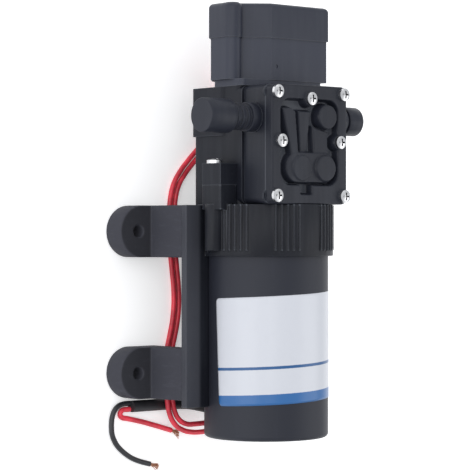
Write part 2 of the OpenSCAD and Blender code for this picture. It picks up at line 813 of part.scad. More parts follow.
module outlet_port() port(-1, [
    [ring_r, ring_y, outlet_ring_y],
    [outlet_groove_r, outlet_ring_y, outlet_ring_y + outlet_groove_w],
    [outlet_r, outlet_ring_y + outlet_groove_w, outlet_reach - 0.6],
    [outlet_r - 0.6, outlet_reach - 0.6, outlet_reach]], outlet_reach);

module port_seals() color([0.1, 0.1, 0.1]) in_frame() for (side = [-1, 1])
    translate([port_x, side * seal_y, port_z]) rotate([90, 0, 0]) rotate_extrude()
        translate([socket_r - seal_d / 2, 0]) circle(seal_d / 2);

module inlet_cap() color([0.22, 0.22, 0.25]) in_frame() translate([port_x, 0, port_z]) difference() {
    along_y(cap_r, cap_y, cap_reach);
    along_y(inlet_neck_r + fit, cap_y - eps, cap_reach - cap_end_t);
}

// Pressure switch

// Outline of the switch body seen along the motor axis, grown by d
module switch_outline(d) {
    h = switch_half_w + d;
    polygon([[-h, switch_low - d], [low_corner_y, switch_low - d], [h, low_corner_z - d], [h, column_at[0][1]],
        [column_at[0][0] - column_r, column_at[0][1] + 1.2 + d], [6 + d / 2, switch_high + d],
        [-h, switch_high + d]]);
    for (p = column_at) translate(p) circle(column_r + d);
}

module switch_hollow() {
    w = switch_half_w - switch_wall;
    difference() {
        polygon([[-w, switch_low + switch_wall], [low_corner_y - switch_wall, switch_low + switch_wall],
            [w, low_corner_z + switch_wall],
            [w, column_at[0][1] - switch_wall],
            [column_at[0][0] - column_r - 1, column_at[0][1] - switch_wall + 1],
            [6 - switch_wall / 2, switch_high - switch_wall], [-w, switch_high - switch_wall]]);
        for (p = column_at) translate(p) circle(column_r);
    }
}

module switch_body() color([0.2, 0.2, 0.23]) in_frame() difference() {
    union() {
        extrude_x(head_end_x, box_x)
            rounded_square([neck_step - switch_half_w, neck_low], [switch_half_w - neck_step, switch_high - 0.4], 2);
        extrude_x(box_x, lid_x) switch_outline(0);
    }
    difference() {
        extrude_x(membrane_x + membrane_t, lid_x + eps) switch_hollow();
        box([micro_x, shelf_y - shelf_t / 2, switch_low], [lid_x + 1, shelf_y + shelf_t / 2, micro_z0]);
    }
    translate([0, plunger_y, plunger_z]) {
        along_x(membrane_r, membrane_x, membrane_x + membrane_t + 1);
        along_x(outlet_pipe_r, head_end_x - eps, membrane_x + eps);
    }
    translate([wire_exit_x, wire_exit_y, switch_low - 1]) cylinder(r = switch_grommet_r, h = switch_wall + 2);
    translate([box_x + mark_inset, mark_y, switch_high - mark_depth]) cylinder(r = mark_r, h = 1);
    for (p = column_at) translate([0, p[0], p[1]]) along_x(lid_screw_r, box_x + 3, lid_x + eps);
}

module switch_lid() color([0.2, 0.2, 0.23]) in_frame() difference() {
    extrude_x(lid_x, top_x) switch_outline(lid_over);
    extrude_x(lid_x - eps, top_x - switch_wall) difference() {
        switch_hollow();
        translate([plunger_y, plunger_z]) circle(adjuster_r + 1.2);
    }
    translate([0, plunger_y, plunger_z]) {
        along_x(adjuster_thread_r + fit, lid_x - eps, top_x - 2);
        along_x(adjuster_r + fit, top_x - 2, top_x + eps);
    }
    for (p = column_at) translate([0, p[0], p[1]]) {
        along_x(lid_screw_r + fit, lid_x - eps, top_x);
        along_x(lid_head_r + 0.2, top_x - lid_head_h, top_x + eps);
    }
}

module lid_screws() color("silver") in_frame() for (p = column_at) translate([0, p[0], p[1]]) {
    along_x(lid_screw_r, box_x + 3, top_x - lid_head_h);
    translate([top_x - lid_head_h, 0, 0]) rotate([0, 90, 0]) pan_head(lid_head_r, lid_head_h);
}

module switch_membrane() color([0.1, 0.1, 0.1]) in_frame() translate([0, plunger_y, plunger_z])
    along_x(membrane_r, membrane_x, membrane_x + membrane_t);

module switch_plunger() color("ivory") in_frame() translate([0, plunger_y, plunger_z]) {
    along_x(plunger_base_r, plunger_x, spring_x0);
    along_x(plunger_stem_r, spring_x0, spring_x0 + plunger_stem_len);
    translate([0, 0, button_z - plunger_z])
        box([spring_x0 - 1.4, 0, -arm_w / 2], [spring_x0, button_y - plunger_y + 2, arm_w / 2]);
}

// Open coil with its ends square to the faces that it bears on
spring_route = let (n = 8 * spring_turns, pitch = (spring_len - 2 * spring_wire) / n)
    [for (i = [0 : n]) [spring_x0 + spring_wire + i * pitch,
        spring_r * cos(45 * i), spring_r * sin(45 * i)]];
echo(spring_gap = (spring_len - 2 * spring_wire) / spring_turns - spring_wire);

module plunger_spring() color("silver") in_frame() translate([0, plunger_y, plunger_z])
    swept_tube(spring_route, spring_wire / 2, [1, 0, 0], 6);

module micro_switch() color("dimgray") in_frame() difference() {
    box([micro_x, micro_y0, micro_z0], [micro_x + micro_len, micro_y1, micro_z1]);
    translate([0, button_y, button_z]) along_x(button_r + fit, micro_x - eps, micro_x + 3);
}

module micro_button() color("firebrick") in_frame() translate([0, button_y, button_z])
    along_x(button_r, spring_x0, micro_x + 1.2);

module switch_terminals() color("goldenrod") in_frame() for (y = [micro_y0 + 1, micro_y1 - 1 - terminal_w])
    box([micro_x + 1, y, micro_z0 - terminal_drop], [micro_x + 1 + terminal_t, y + terminal_w, micro_z0]);

module adjusting_screw() color("goldenrod") in_frame() translate([0, plunger_y, plunger_z]) difference() {
    union() {
        along_x(adjuster_thread_r, adjuster_x, top_x - 2);
        along_x(adjuster_r, top_x - 2, top_x - 0.4);
    }
    box([top_x - 1.4, -0.6, -adjuster_r], [top_x, 0.6, adjuster_r]);
}

module switch_grommet() color([0.1, 0.1, 0.1]) in_frame() translate([wire_exit_x, wire_exit_y, 0]) {
    translate([0, 0, switch_low]) cylinder(r = switch_grommet_r, h = switch_wall);
    translate([0, 0, switch_low - 1.2]) cylinder(r = switch_grommet_r + 1, h = 1.2);
}

// Wires, in the frame: each route is a list of points along the middle of the wire

switch_route = [
    [-88.25, -2.85, 20.8], [-88.25, -2.85, 19], [-88.2, -2.6, 16], [-87.8, -1.4, 12], [-86.8, 1.2, 8.4],
    [-84.6, 4, 5], [-81.2, 5.8, 2.8], [-77, 6.4, 1.6], [-72, 5.8, 1.2], [-67, 4, 1.2], [-62.6, 1.2, 1.2],
    [-58.8, -2.2, 1.2], [-55.4, -5.8, 1.2], [-51.8, -9.5, 1.2], [-48, -13, 1.2], [-44.2, -15.6, 1.2],
    [-39.6, -17.2, 1.2], [-33, -17.8, 1.2], [-26, -17.8, 1.2], [-19, -17.4, 1.2], [-12, -16.6, 1.2],
    [-5, -15.8, 1.2], [2, -15.7, 1.2], [8, -16.4, 1.2], [14, -17.8, 1.2], [19, -19.4, 1.6],
    [24, -21, 2.8], [29, -22.2, 4.4], [34, -22.7, 5.8], [38, -22.6, 6.2], [42, -21.5, 6.2],
    [45.2, -19.1, 6.2], [46.8, -15.6, 6.2], [47, -11.8, 6.2], [46.9, -8, 6.3], [46.8, -5, 6.6],
    [46.4, -2.8, 7.2], [45.9, -1.5, 8.3], [45.9, -1.5, 9.4]];
outer_tail = [[42.6, -24, 6.2], [46.7, -21.4, 6.2], [49, -17.6, 6.2], [50, -13.4, 6.2], [50.2, -9, 6.2],
    [49.8, -5, 6.4], [48.8, -1.8, 6.7], [47.4, 0.4, 7.2], [46.2, 1.1, 7.9], [45.9, 1.2, 9.4]];
wire_pitch = 2.4;
outer_shared = 30;
side_turn = 6;
near_side = [0, -1, 0];

// The outer wire lies beside the inner one, turning from its hole's side to its near side
function run_at(i) = switch_route[i + 1] - switch_route[max(i - 1, 0)];
function across_run(i) = i < 2 ? near_side : unit([run_at(i)[1], -run_at(i)[0], 0]);
function side_share(i) = min(1, i / side_turn);
function beside(i) = unit((1 - side_share(i)) * near_side + side_share(i) * across_run(i));
outer_route = concat([for (i = [0 : outer_shared - 1]) switch_route[i] + wire_pitch * beside(i)], outer_tail);

sleeve_route = [
    [42.2, -0.9, 9.4], [42.2, -0.9, 8.6], [42.1, -1.3, 7.4], [41.8, -2.4, 6.1], [41.3, -4, 4.9],
    [40.7, -6.1, 3.8], [40.1, -8.6, 2.9], [39.6, -11.4, 2.4], [39.3, -14.6, 2.3], [39.15, -18, 2.3],
    [39.1, -21.6, 2.3], [39.1, -25.2, 2.3], [39.1, -28.8, 2.3], [39.1, -32.4, 2.3], [39.1, -36, 2.3],
    [39.1, -39.2, 2.3]];
red_route = [
    [40.2, -39.2, 1.4], [40.2, -40.4, 1.25], [40.2, -41.3, 1.15], [40.3, -42.2, 1.1], [40.7, -43, 1.1],
    [41.4, -43.5, 1.1], [42.2, -43.5, 1.1], [42.9, -43, 1.1], [43.3, -42.2, 1.1], [43.6, -40.6, 1.1],
    [44.2, -37.8, 1.1], [44.9, -34.8, 1.1], [45.6, -32, 1.1], [46.4, -29.2, 1.1], [47.3, -26, 1.1],
    [48.2, -23, 1.1], [49.3, -19.4, 1.1]];
black_route = [
    [38, -39.2, 1.4], [38, -40.6, 1.25], [38.1, -42, 1.15], [38.4, -43.4, 1.1], [39.2, -45, 1.1],
    [40.8, -46.4, 1.1], [42.8, -47.2, 1.1], [45, -47.5, 1.1], [46.9, -47.5, 1.1], [49.2, -47.2, 1.1],
    [51.4, -46.3, 1.1], [53.5, -44.9, 1.1], [55.3, -43, 1.1], [57.3, -40.3, 1.1], [58.9, -37.4, 1.1],
    [60.3, -33.6, 1.1], [61.4, -29.6, 1.1]];
red_tail = [[49.3, -19.4, 1.1], [49.96, -17.24, 1.1], [50.8, -15.2, 1.1]];
black_tail = [[61.4, -29.6, 1.1], [61.98, -27.48, 1.1], [62.7, -25.2, 1.1]];
strand_d = 1.3;

module switch_wire_inner() color([0.8, 0.1, 0.15]) swept_tube(switch_route, wire_d / 2, [1, 0, 0]);
module switch_wire_outer() color([0.8, 0.1, 0.15]) swept_tube(outer_route, wire_d / 2, [1, 0, 0]);
module lead_sleeve() color([0.08, 0.08, 0.08]) swept_tube(sleeve_route, sleeve_d / 2, [1, 0, 0]);
module red_lead() color([0.8, 0.1, 0.15]) swept_tube(red_route, wire_d / 2, [1, 0, 0]);
module black_lead() color([0.1, 0.1, 0.1]) swept_tube(black_route, wire_d / 2, [1, 0, 0]);
module red_strands() color("peru") swept_tube(red_tail, strand_d / 2, [1, 0, 0]);
module black_strands() color("peru") swept_tube(black_tail, strand_d / 2, [1, 0, 0]);

motor_can();
rating_label();
motor_end_plate();
field_magnets();
armature_core();
armature_winding();
commutator();
motor_shaft();
rear_bushing();
front_bearing();
brush_card();
brush_arms();
carbon_brushes();
motor_grommet();
motor_bracket();
front_left_foot();
front_right_foot();
rear_left_foot();
rear_right_foot();
drive_housing();
long_screws();
motor_screws();
eccentric();
grub_screw();
crank_bearing();
connecting_rod();
diaphragm();
diaphragm_washer();
diaphragm_screw();
valve_plate();
inlet_valve();
outlet_valve();
plate_seal();
pump_cover();
cover_screws();
inlet_port();
outlet_port();
port_seals();
inlet_cap();
switch_body();
switch_lid();
lid_screws();
switch_membrane();
switch_plunger();
plunger_spring();
micro_switch();
micro_button();
switch_terminals();
adjusting_screw();
switch_grommet();
switch_wire_inner();
switch_wire_outer();
lead_sleeve();
red_lead();
black_lead();
red_strands();
black_strands();
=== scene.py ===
import json
import math
import random

import bmesh
import bpy
import numpy as np
from mathutils import Matrix, Vector


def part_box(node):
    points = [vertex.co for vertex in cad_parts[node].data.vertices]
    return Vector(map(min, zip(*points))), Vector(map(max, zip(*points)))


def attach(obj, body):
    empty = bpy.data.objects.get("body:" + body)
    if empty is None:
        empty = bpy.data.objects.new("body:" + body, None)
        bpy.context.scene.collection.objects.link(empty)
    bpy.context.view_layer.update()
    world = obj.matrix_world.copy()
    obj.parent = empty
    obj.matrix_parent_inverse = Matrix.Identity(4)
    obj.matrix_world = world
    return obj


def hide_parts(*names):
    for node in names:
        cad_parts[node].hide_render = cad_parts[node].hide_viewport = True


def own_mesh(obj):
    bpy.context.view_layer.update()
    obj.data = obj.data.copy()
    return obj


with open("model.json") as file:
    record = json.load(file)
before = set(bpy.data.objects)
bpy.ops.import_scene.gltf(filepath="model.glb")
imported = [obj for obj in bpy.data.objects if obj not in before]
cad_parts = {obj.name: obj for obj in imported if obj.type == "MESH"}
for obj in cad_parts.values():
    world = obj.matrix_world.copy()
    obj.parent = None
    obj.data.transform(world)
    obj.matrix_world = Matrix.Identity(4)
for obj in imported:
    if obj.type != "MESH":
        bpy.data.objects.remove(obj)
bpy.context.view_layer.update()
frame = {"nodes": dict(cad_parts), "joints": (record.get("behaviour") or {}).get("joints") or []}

bl_info = {
    "name": "Diaphragm water pump",
    "version": (1, 0, 0),
    "blender": (4, 5, 0),
    "location": "View3D > Sidebar > Pump",
    "description": "Finishes, wires, label and stage for a small diaphragm water pump",
    "category": "Object",
}

MM = 0.001

# Motor axis and label in millimetres: distances are from the motor's rear end
AXIS_X = 50.25
AXIS_Z = 34
CAN_RADII = (23.21 * MM, 23.36 * MM)
LABEL_SPAN = (12.5, 52)
LABEL_TURNS = (88.4, -101)
LABEL_CORNER = 1.6
LABEL_CELLS = (120, 48)

# Edges of the printed band and of the line above it, as shares of the label's height
BAND_EDGE = (0.097, 0.103)
LINE_LOW = (0.328, 0.333)
LINE_HIGH = (0.355, 0.360)

# Lamps: name, place, size and power
SEEN_RAYS = ("Is Camera Ray", "Is Glossy Ray", "Is Transmission Ray")
LAMPS = (
    ("key", (-0.35, -0.75, 0.95), 0.9, 3.7),
    ("fill", (0.05, -0.95, 0.25), 0.7, 2.4),
    ("side", (0.15, 0.70, 0.70), 0.7, 2.0),
    ("head", (-0.9, 0.1, 0.6), 0.7, 1.5),
)

# Nodes of the frame by finish
PORT_NODES = ("inlet_port", "outlet_port", "inlet_cap")
SOFT_EDGE_NODES = ("motor_bracket", "inlet_port", "outlet_port", "inlet_cap")
FOOT_NODES = ("front_left_foot", "front_right_foot", "rear_left_foot", "rear_right_foot")
SCREW_NODES = ("long_screws", "motor_screws", "cover_screws", "lid_screws", "diaphragm_screw",
               "diaphragm_washer", "grub_screw")
STEEL_NODES = ("armature_core", "motor_shaft", "front_bearing", "crank_bearing",
               "eccentric", "field_magnets", "motor_end_plate")
BRASS_NODES = ("rear_bushing", "brush_arms", "switch_terminals", "adjusting_screw")
COPPER_NODES = ("armature_winding", "commutator")
SEAL_NODES = ("diaphragm", "inlet_valve", "outlet_valve", "plate_seal", "port_seals",
              "switch_membrane", "motor_grommet", "switch_grommet")
WHITE_NODES = ("connecting_rod", "valve_plate", "switch_plunger")
DARK_NODES = ("micro_switch", "carbon_brushes", "brush_card")
RED_NODES = ("micro_button",)

# Plain finishes: name, dark and light tone, roughness of a metal, and the nodes that have it
STEEL_TONES = ((0.32, 0.32, 0.33, 1), (0.52, 0.52, 0.53, 1))
METALS = (
    ("plain_steel", *STEEL_TONES, 0.35, STEEL_NODES),
    ("plain_brass", (0.48, 0.33, 0.12, 1), (0.62, 0.45, 0.20, 1), 0.3, BRASS_NODES),
    ("wound_copper", (0.42, 0.18, 0.09, 1), (0.60, 0.30, 0.17, 1), 0.35, COPPER_NODES),
)
MOULDINGS = (
    ("pale_moulding", (0.62, 0.61, 0.56, 1), (0.74, 0.73, 0.68, 1), WHITE_NODES),
    ("dark_moulding", (0.05, 0.045, 0.04, 1), (0.09, 0.08, 0.075, 1), DARK_NODES),
    ("red_moulding", (0.35, 0.02, 0.02, 1), (0.5, 0.04, 0.03, 1), RED_NODES),
)
BLACK_INSULATION = (0.020, 0.021, 0.026)
SLEEVE_RUBBER = (0.022, 0.022, 0.026)

# Routes of the wires in millimetres, as the solids have them
SWITCH_ROUTE = (
    (-88.25, -2.85, 20.8), (-88.25, -2.85, 19), (-88.2, -2.6, 16), (-87.8, -1.4, 12),
    (-86.8, 1.2, 8.4), (-84.6, 4, 5), (-81.2, 5.8, 2.8), (-77, 6.4, 1.6), (-72, 5.8, 1.2),
    (-67, 4, 1.2), (-62.6, 1.2, 1.2), (-58.8, -2.2, 1.2), (-55.4, -5.8, 1.2), (-51.8, -9.5, 1.2),
    (-48, -13, 1.2), (-44.2, -15.6, 1.2), (-39.6, -17.2, 1.2), (-33, -17.8, 1.2),
    (-26, -17.8, 1.2), (-19, -17.4, 1.2), (-12, -16.6, 1.2), (-5, -15.8, 1.2), (2, -15.7, 1.2),
    (8, -16.4, 1.2), (14, -17.8, 1.2), (19, -19.4, 1.6), (24, -21, 2.8), (29, -22.2, 4.4),
    (34, -22.7, 5.8), (38, -22.6, 6.2), (42, -21.5, 6.2), (45.2, -19.1, 6.2), (46.8, -15.6, 6.2),
    (47, -11.8, 6.2), (46.9, -8, 6.3), (46.8, -5, 6.6), (46.4, -2.8, 7.2), (45.9, -1.5, 8.3),
    (45.9, -1.5, 9.4))
OUTER_SHARED = 30
WIRE_PITCH = 2.4
SIDE_TURN = 6
OUTER_TAIL = (
    (42.6, -24, 6.2), (46.7, -21.4, 6.2), (49, -17.6, 6.2), (50, -13.4, 6.2), (50.2, -9, 6.2),
    (49.8, -5, 6.4), (48.8, -1.8, 6.7), (47.4, 0.4, 7.2), (46.2, 1.1, 7.9), (45.9, 1.2, 9.4))
SLEEVE_ROUTE = (
    (42.2, -0.9, 9.4), (42.2, -0.9, 8.6), (42.1, -1.3, 7.4), (41.8, -2.4, 6.1), (41.3, -4, 4.9),
    (40.7, -6.1, 3.8), (40.1, -8.6, 2.9), (39.6, -11.4, 2.4), (39.3, -14.6, 2.3),
    (39.15, -18, 2.3), (39.1, -21.6, 2.3), (39.1, -25.2, 2.3), (39.1, -28.8, 2.3),
    (39.1, -32.4, 2.3), (39.1, -36, 2.3), (39.1, -39.2, 2.3))
RED_ROUTE = (
    (40.2, -39.2, 1.4), (40.2, -40.4, 1.25), (40.2, -41.3, 1.15), (40.3, -42.2, 1.1),
    (40.7, -43, 1.1), (41.4, -43.5, 1.1), (42.2, -43.5, 1.1), (42.9, -43, 1.1),
    (43.3, -42.2, 1.1), (43.6, -40.6, 1.1), (44.2, -37.8, 1.1), (44.9, -34.8, 1.1),
    (45.6, -32, 1.1), (46.4, -29.2, 1.1), (47.3, -26, 1.1), (48.2, -23, 1.1), (49.3, -19.4, 1.1))
BLACK_ROUTE = (
    (38, -39.2, 1.4), (38, -40.6, 1.25), (38.1, -42, 1.15), (38.4, -43.4, 1.1), (39.2, -45, 1.1),
    (40.8, -46.4, 1.1), (42.8, -47.2, 1.1), (45, -47.5, 1.1), (46.9, -47.5, 1.1),
    (49.2, -47.2, 1.1), (51.4, -46.3, 1.1), (53.5, -44.9, 1.1), (55.3, -43, 1.1),
    (57.3, -40.3, 1.1), (58.9, -37.4, 1.1), (60.3, -33.6, 1.1), (61.4, -29.6, 1.1))
RED_TAIL = ((49.3, -19.4, 1.1), (49.96, -17.24, 1.1), (50.8, -15.2, 1.1))
BLACK_TAIL = ((61.4, -29.6, 1.1), (61.98, -27.48, 1.1), (62.7, -25.2, 1.1))

# How the strands of a bare end lie: count, straight runs, turn from one to the next, and shares
STRANDS = 19
STRAND_RUNS = 5
STRAND_TURN = 2.4
STRAND_TWIST = 1.3
STRAND_REACH = 0.46 * MM
STRAND_FLARE = (1.6, 4.6)
STRAND_TRIM = 0.16
STRAND_FLATNESS = 0.3

# The cover's moulded top in millimetres: places are from the motor's rear end and across,
# heights are above the motor's axis
COVER_SPAN = (86.5, 130)
COVER_HALF = 18.4
COVER_CORNER = 2.5
COVER_FLOOR = 21.2
COVER_TOP = 24.5
COVER_EDGE = 0.6
COVER_CELL = 0.25
COVER_POCKET = ((93.6, -13.8), (124.6, 13.9), 4.5)
COVER_NOTCH = ((90.2, -1.0), (95.0, 4.4), 0.5)
COVER_SCREWS = ((127.1, 16.2), (127.1, -16.2), (125, 0), (109.4, 14.4), (109.4, -14.4),
                (89.5, 16.5), (89.5, -16.5))
COVER_DISCS = (((99.7, 3.6), 4.9, 24.7), ((99.7, -7.6), 5.0, 25.2), ((118.6, -8.2), 4.7, 25.4))
COVER_LEGS = (
    (((121.4, 13.2), (121.8, 9.4), (120.4, 6.6), (104, 4.8), (104, 8.6)), (24.0, 24.3)),
    (((120.6, 5.2), (120.6, -1.4), (104, 0.2), (104, 3.0)), (22.4, 23.8)),
    (((115.2, -2.0), (113.2, -9.8), (104, -9.4), (104, -2.2)), (23.9, 23.5)))
COVER_BLOCK = ((94.2, -13.0), (105.6, 11.2), 5.2, 24.1)
COVER_PAD = (2.9, 0.36)
COVER_LEG_START = 104
COVER_LEG_RUN = 17
COVER_OVERLAP = 0.2
COVER_SKIRT = 0.3
SKIRT_SPREAD = 1.0015

# The diaphragm's rim and middle, as pairs of radius and height above the motor's axis
PUMP_AXIS_X = -57.75
DIAPHRAGM_RIM = (
    (7.9, 7.6), (8.3, 7.2), (15.7, 7.2), (15.95, 7.4), (15.95, 8.8), (15.7, 9), (8.3, 9),
    (7.9, 8.6))
DIAPHRAGM_MIDDLE = ((1.5, 7.2), (6.1, 7.2), (6.5, 7.6), (6.5, 8.6), (6.1, 9), (1.5, 9))

# Distances at which triangles count as joined or as level, and angles at which faces count as
# flat, edges as sharp in shading, and edges as ones to round
WELD = 0.002 * MM
ON_PLANE = 0.01 * MM
FLAT = math.radians(0.6)
SHARP = math.radians(32)
TURNED_SHARP = math.radians(50)
TO_ROUND = math.radians(38)
LID_RIM = 1.0
MITRE = 0.6

# Tones that flow marks, wear and dust bring to the black mouldings and the feet, with a painted
# highlight on worn edges, painted light on the rails and painted shade in grooves and screw drives
FLOW_TONE = (0.055, 0.062, 0.080, 1)
EDGE_WEAR_AND_HIGHLIGHT_TONE = (0.10, 0.108, 0.128, 1)
DUST_TONE = (0.32, 0.32, 0.34, 1)
RAIL_LIGHT_TONE = (0.047, 0.049, 0.061, 1)
GROOVE_SHADE_TONE = (0.002, 0.002, 0.003, 1)
FOOT_DUST_TONE = (0.30, 0.30, 0.31, 1)
DRIVE_SHADE_TONE = (0.05, 0.05, 0.055, 1)

# Where the bracket's rails and the feet's flanges are, from and to: the bounds of the painted light
# on the rails and of the painted shade on the flanges' tops
RAIL_SIDE = (25.5 * MM, 27.5 * MM)
RAIL_TOP = (27.5 * MM, 29 * MM)
FLANGE_TOP = (11 * MM, 14 * MM)

# How much rounder the feet's edges are than the mouldings'
FOOT_EDGE = 2.2

# Light of the room, and of the floor as it is seen
ROOM_COLOUR = (0.96, 0.98, 1.0, 1)
ROOM_STRENGTH = 0.70
FLOOR_GLOW = 0.42
FLOOR_HALF = 4
SENSOR_WIDTH = 36


class PumpFinishes(bpy.types.PropertyGroup):
    """Colours of the pump's finishes."""

    plastic: bpy.props.FloatVectorProperty(
        name="Plastic", description="Black moulded housings", subtype="COLOR", size=3,
        default=(0.0165, 0.0190, 0.0305))
    paint: bpy.props.FloatVectorProperty(
        name="Motor paint", description="Satin paint on the motor can", subtype="COLOR", size=3,
        default=(0.0190, 0.0210, 0.0310))
    rubber: bpy.props.FloatVectorProperty(
        name="Rubber", description="Rubber of the feet", subtype="COLOR", size=3,
        default=(0.0395, 0.0405, 0.0530))
    label_white: bpy.props.FloatVectorProperty(
        name="Label", description="Ground of the label", subtype="COLOR", size=3,
        default=(0.60, 0.617, 0.67))
    label_blue: bpy.props.FloatVectorProperty(
        name="Label band", description="Bands printed on the label", subtype="COLOR", size=3,
        default=(0.026, 0.128, 0.350))
    red_wire: bpy.props.FloatVectorProperty(
        name="Red insulation", description="Red wires", subtype="COLOR", size=3,
        default=(0.90, 0.050, 0.084))
    copper: bpy.props.FloatVectorProperty(
        name="Copper", description="Bare strands", subtype="COLOR", size=3,
        default=(0.50, 0.25, 0.16))


class PumpSizes(bpy.types.PropertyGroup):
    """Sizes of the pieces that are added to the frame."""

    wire_d: bpy.props.FloatProperty(
        name="Wire", description="Outer diameter of a wire", unit="LENGTH", default=2 * MM)
    sleeve_d: bpy.props.FloatProperty(
        name="Sleeve", description="Outer diameter of the sleeve", unit="LENGTH", default=4.4 * MM)
    strand_d: bpy.props.FloatProperty(
        name="Strand", description="Diameter of one bare strand", unit="LENGTH", default=0.24 * MM)
    label_tilt: bpy.props.FloatProperty(
        name="Label tilt", description="How far the label sits askew", unit="ROTATION",
        default=math.radians(2.6))
    lid_edge: bpy.props.FloatProperty(
        name="Lid edge", description="Rounding of the lid's end", unit="LENGTH", default=1.8 * MM)
    edge: bpy.props.FloatProperty(
        name="Edge", description="Width of the small rounding on moulded edges", unit="LENGTH",
        default=0.35 * MM)


class PumpStage(bpy.types.PropertyGroup):
    """Camera and light."""

    distance: bpy.props.FloatProperty(
        name="Distance", description="From the camera to the pump", unit="LENGTH", default=0.760)
    elevation: bpy.props.FloatProperty(
        name="Elevation", description="Camera angle above the floor", unit="ROTATION",
        default=math.radians(50))
    lens: bpy.props.FloatProperty(
        name="Lens", description="Focal length in millimetres", default=155.5)
    look_at: bpy.props.FloatVectorProperty(
        name="Look at", description="Point in the middle of the picture", subtype="TRANSLATION",
        size=3, default=(-0.025, -0.0089, 0.0265))


class Value:
    """A shader socket whose arithmetic adds nodes to its tree."""

    def __init__(self, tree, socket):
        self.tree = tree
        self.socket = socket

    def math(self, operation, other=None):
        """A Math node on this value and, where the operation has one, another."""
        inputs = {0: self}
        if other is not None:
            inputs[1] = other
        return add_node(self.tree, "ShaderNodeMath", {"operation": operation}, inputs)

    def __add__(self, other):
        return self.math("ADD", other)

    __radd__ = __add__

    def __mul__(self, other):
        return self.math("MULTIPLY", other)

    __rmul__ = __mul__

    def __sub__(self, other):
        return self.math("SUBTRACT", other)

    def __rsub__(self, other):
        return add_node(self.tree, "ShaderNodeMath", {"operation": "SUBTRACT"}, {0: other, 1: self})

    def part(self, axis):
        """One of the three numbers of a vector."""
        return add_node(self.tree, "ShaderNodeSeparateXYZ", None, {0: self}, axis)

    def sharpen(self, low, high):
        """0 below low, 1 above high and smooth between them."""
        return add_node(
            self.tree, "ShaderNodeMapRange", {"interpolation_type": "SMOOTHSTEP"},
            {"Value": self, "From Min": low, "From Max": high})


def add_node(tree, kind, settings=None, inputs=None, output=0):
    """Adds a node, sets it up and returns its output as a Value."""
    node = tree.nodes.new(kind)
    for key, value in (settings or {}).items():
        setattr(node, key, value)
    for key, value in (inputs or {}).items():
        socket = node.inputs[key]
        if isinstance(value, Value):
            tree.links.new(value.socket, socket)
        else:
            socket.default_value = value
    return Value(tree, node.outputs[output])


def rgba(colour, gain=1.0):
    """A colour with its alpha, made paler or darker by gain."""
    return tuple(min(1.0, c * gain) for c in colour[:3]) + (1.0,)


class Finish:
    """A new material with one Principled shader, and the maps that its finish needs."""

    def __init__(self, name):
        self.material = bpy.data.materials.new(name)
        self.material.use_nodes = True
        self.tree = self.material.node_tree
        self.shader = self.tree.nodes["Principled BSDF"]
        self.place = add_node(self.tree, "ShaderNodeTexCoord", output="Object")

    def set(self, **values):
        """Sets or links sockets of the shader by their names."""
        for key, value in values.items():
            socket = self.shader.inputs[key.replace("_", " ").title().replace("Ior", "IOR")]
            if isinstance(value, Value):
                self.tree.links.new(value.socket, socket)
            else:
                socket.default_value = value
        return self

    def noise(self, scale, detail=3.0, rough=0.55, stretch=None):
        """Noise fixed to the piece, stretched where its marks run one way."""
        place = self.place
        if stretch:
            place = add_node(self.tree, "ShaderNodeMapping", None,
                             {"Vector": place, "Scale": stretch})
        return add_node(self.tree, "ShaderNodeTexNoise", None,
                        {"Vector": place, "Scale": scale, "Detail": detail, "Roughness": rough})

    def openness(self, reach, within=False):
        """1 where the air, or the solid itself, is clear for the reach round a place."""
        return add_node(self.tree, "ShaderNodeAmbientOcclusion",
                        {"samples": 10, "only_local": True, "inside": within},
                        {"Distance": reach}, "AO")

    def worn_and_highlit_edges(self, reach):
        """1 along the outer edges of a piece and 0 on its flats."""
        return 1 - self.openness(reach, True).sharpen(0.45, 0.85)

    def mix(self, factor, first, second):
        """The first colour where factor is 0 and the second where it is 1."""
        return add_node(self.tree, "ShaderNodeMix", {"data_type": "RGBA"},
                        {0: factor, 6: first, 7: second}, 2)

    def bump(self, height, depth, strength=0.4):
        """Fine relief of the given depth, for the shader's normal."""
        normal = add_node(self.tree, "ShaderNodeBump", None,
                          {"Height": height, "Distance": depth, "Strength": strength})
        return self.set(normal=normal)


def apply_finish(finish, *nodes):
    """Gives the named solids a finish in place of what they came with."""
    for name in nodes:
        mesh = frame["nodes"][name].data
        mesh.materials.clear()
        mesh.materials.append(finish.material)


def bracket_plastic(colour):
    """The bracket's moulding: painted shade darkening the collar and its grooves, and painted light
    along the rails.
    """
    f = Finish("bracket_moulding")
    # Painted light: paler where the bracket reaches out past the motor, below the rails' tops.
    rail_light = f.place.part("Y").math("ABSOLUTE").sharpen(*RAIL_SIDE)
    rail_light = rail_light * (1 - f.place.part("Z").sharpen(*RAIL_TOP))
    # Painted shade: the grooves and creases darkened nearly to black.
    groove_shade = 1 - f.openness(0.8 * MM).sharpen(0.55, 0.95)
    # Painted shade on the collar, from the plastic darkened to 0.42, and painted light on the
    # rails.
    tone = f.mix(rail_light, rgba(colour, 0.42), RAIL_LIGHT_TONE)
    tone = f.mix(groove_shade * 0.9, tone, GROOVE_SHADE_TONE)
    # Edge wear and painted highlight at full strength and wider, for the bright edges of the ribs.
    return moulded_plastic(f, tone, 0.46, 0.24, wear=1.0, reach=0.7 * MM)


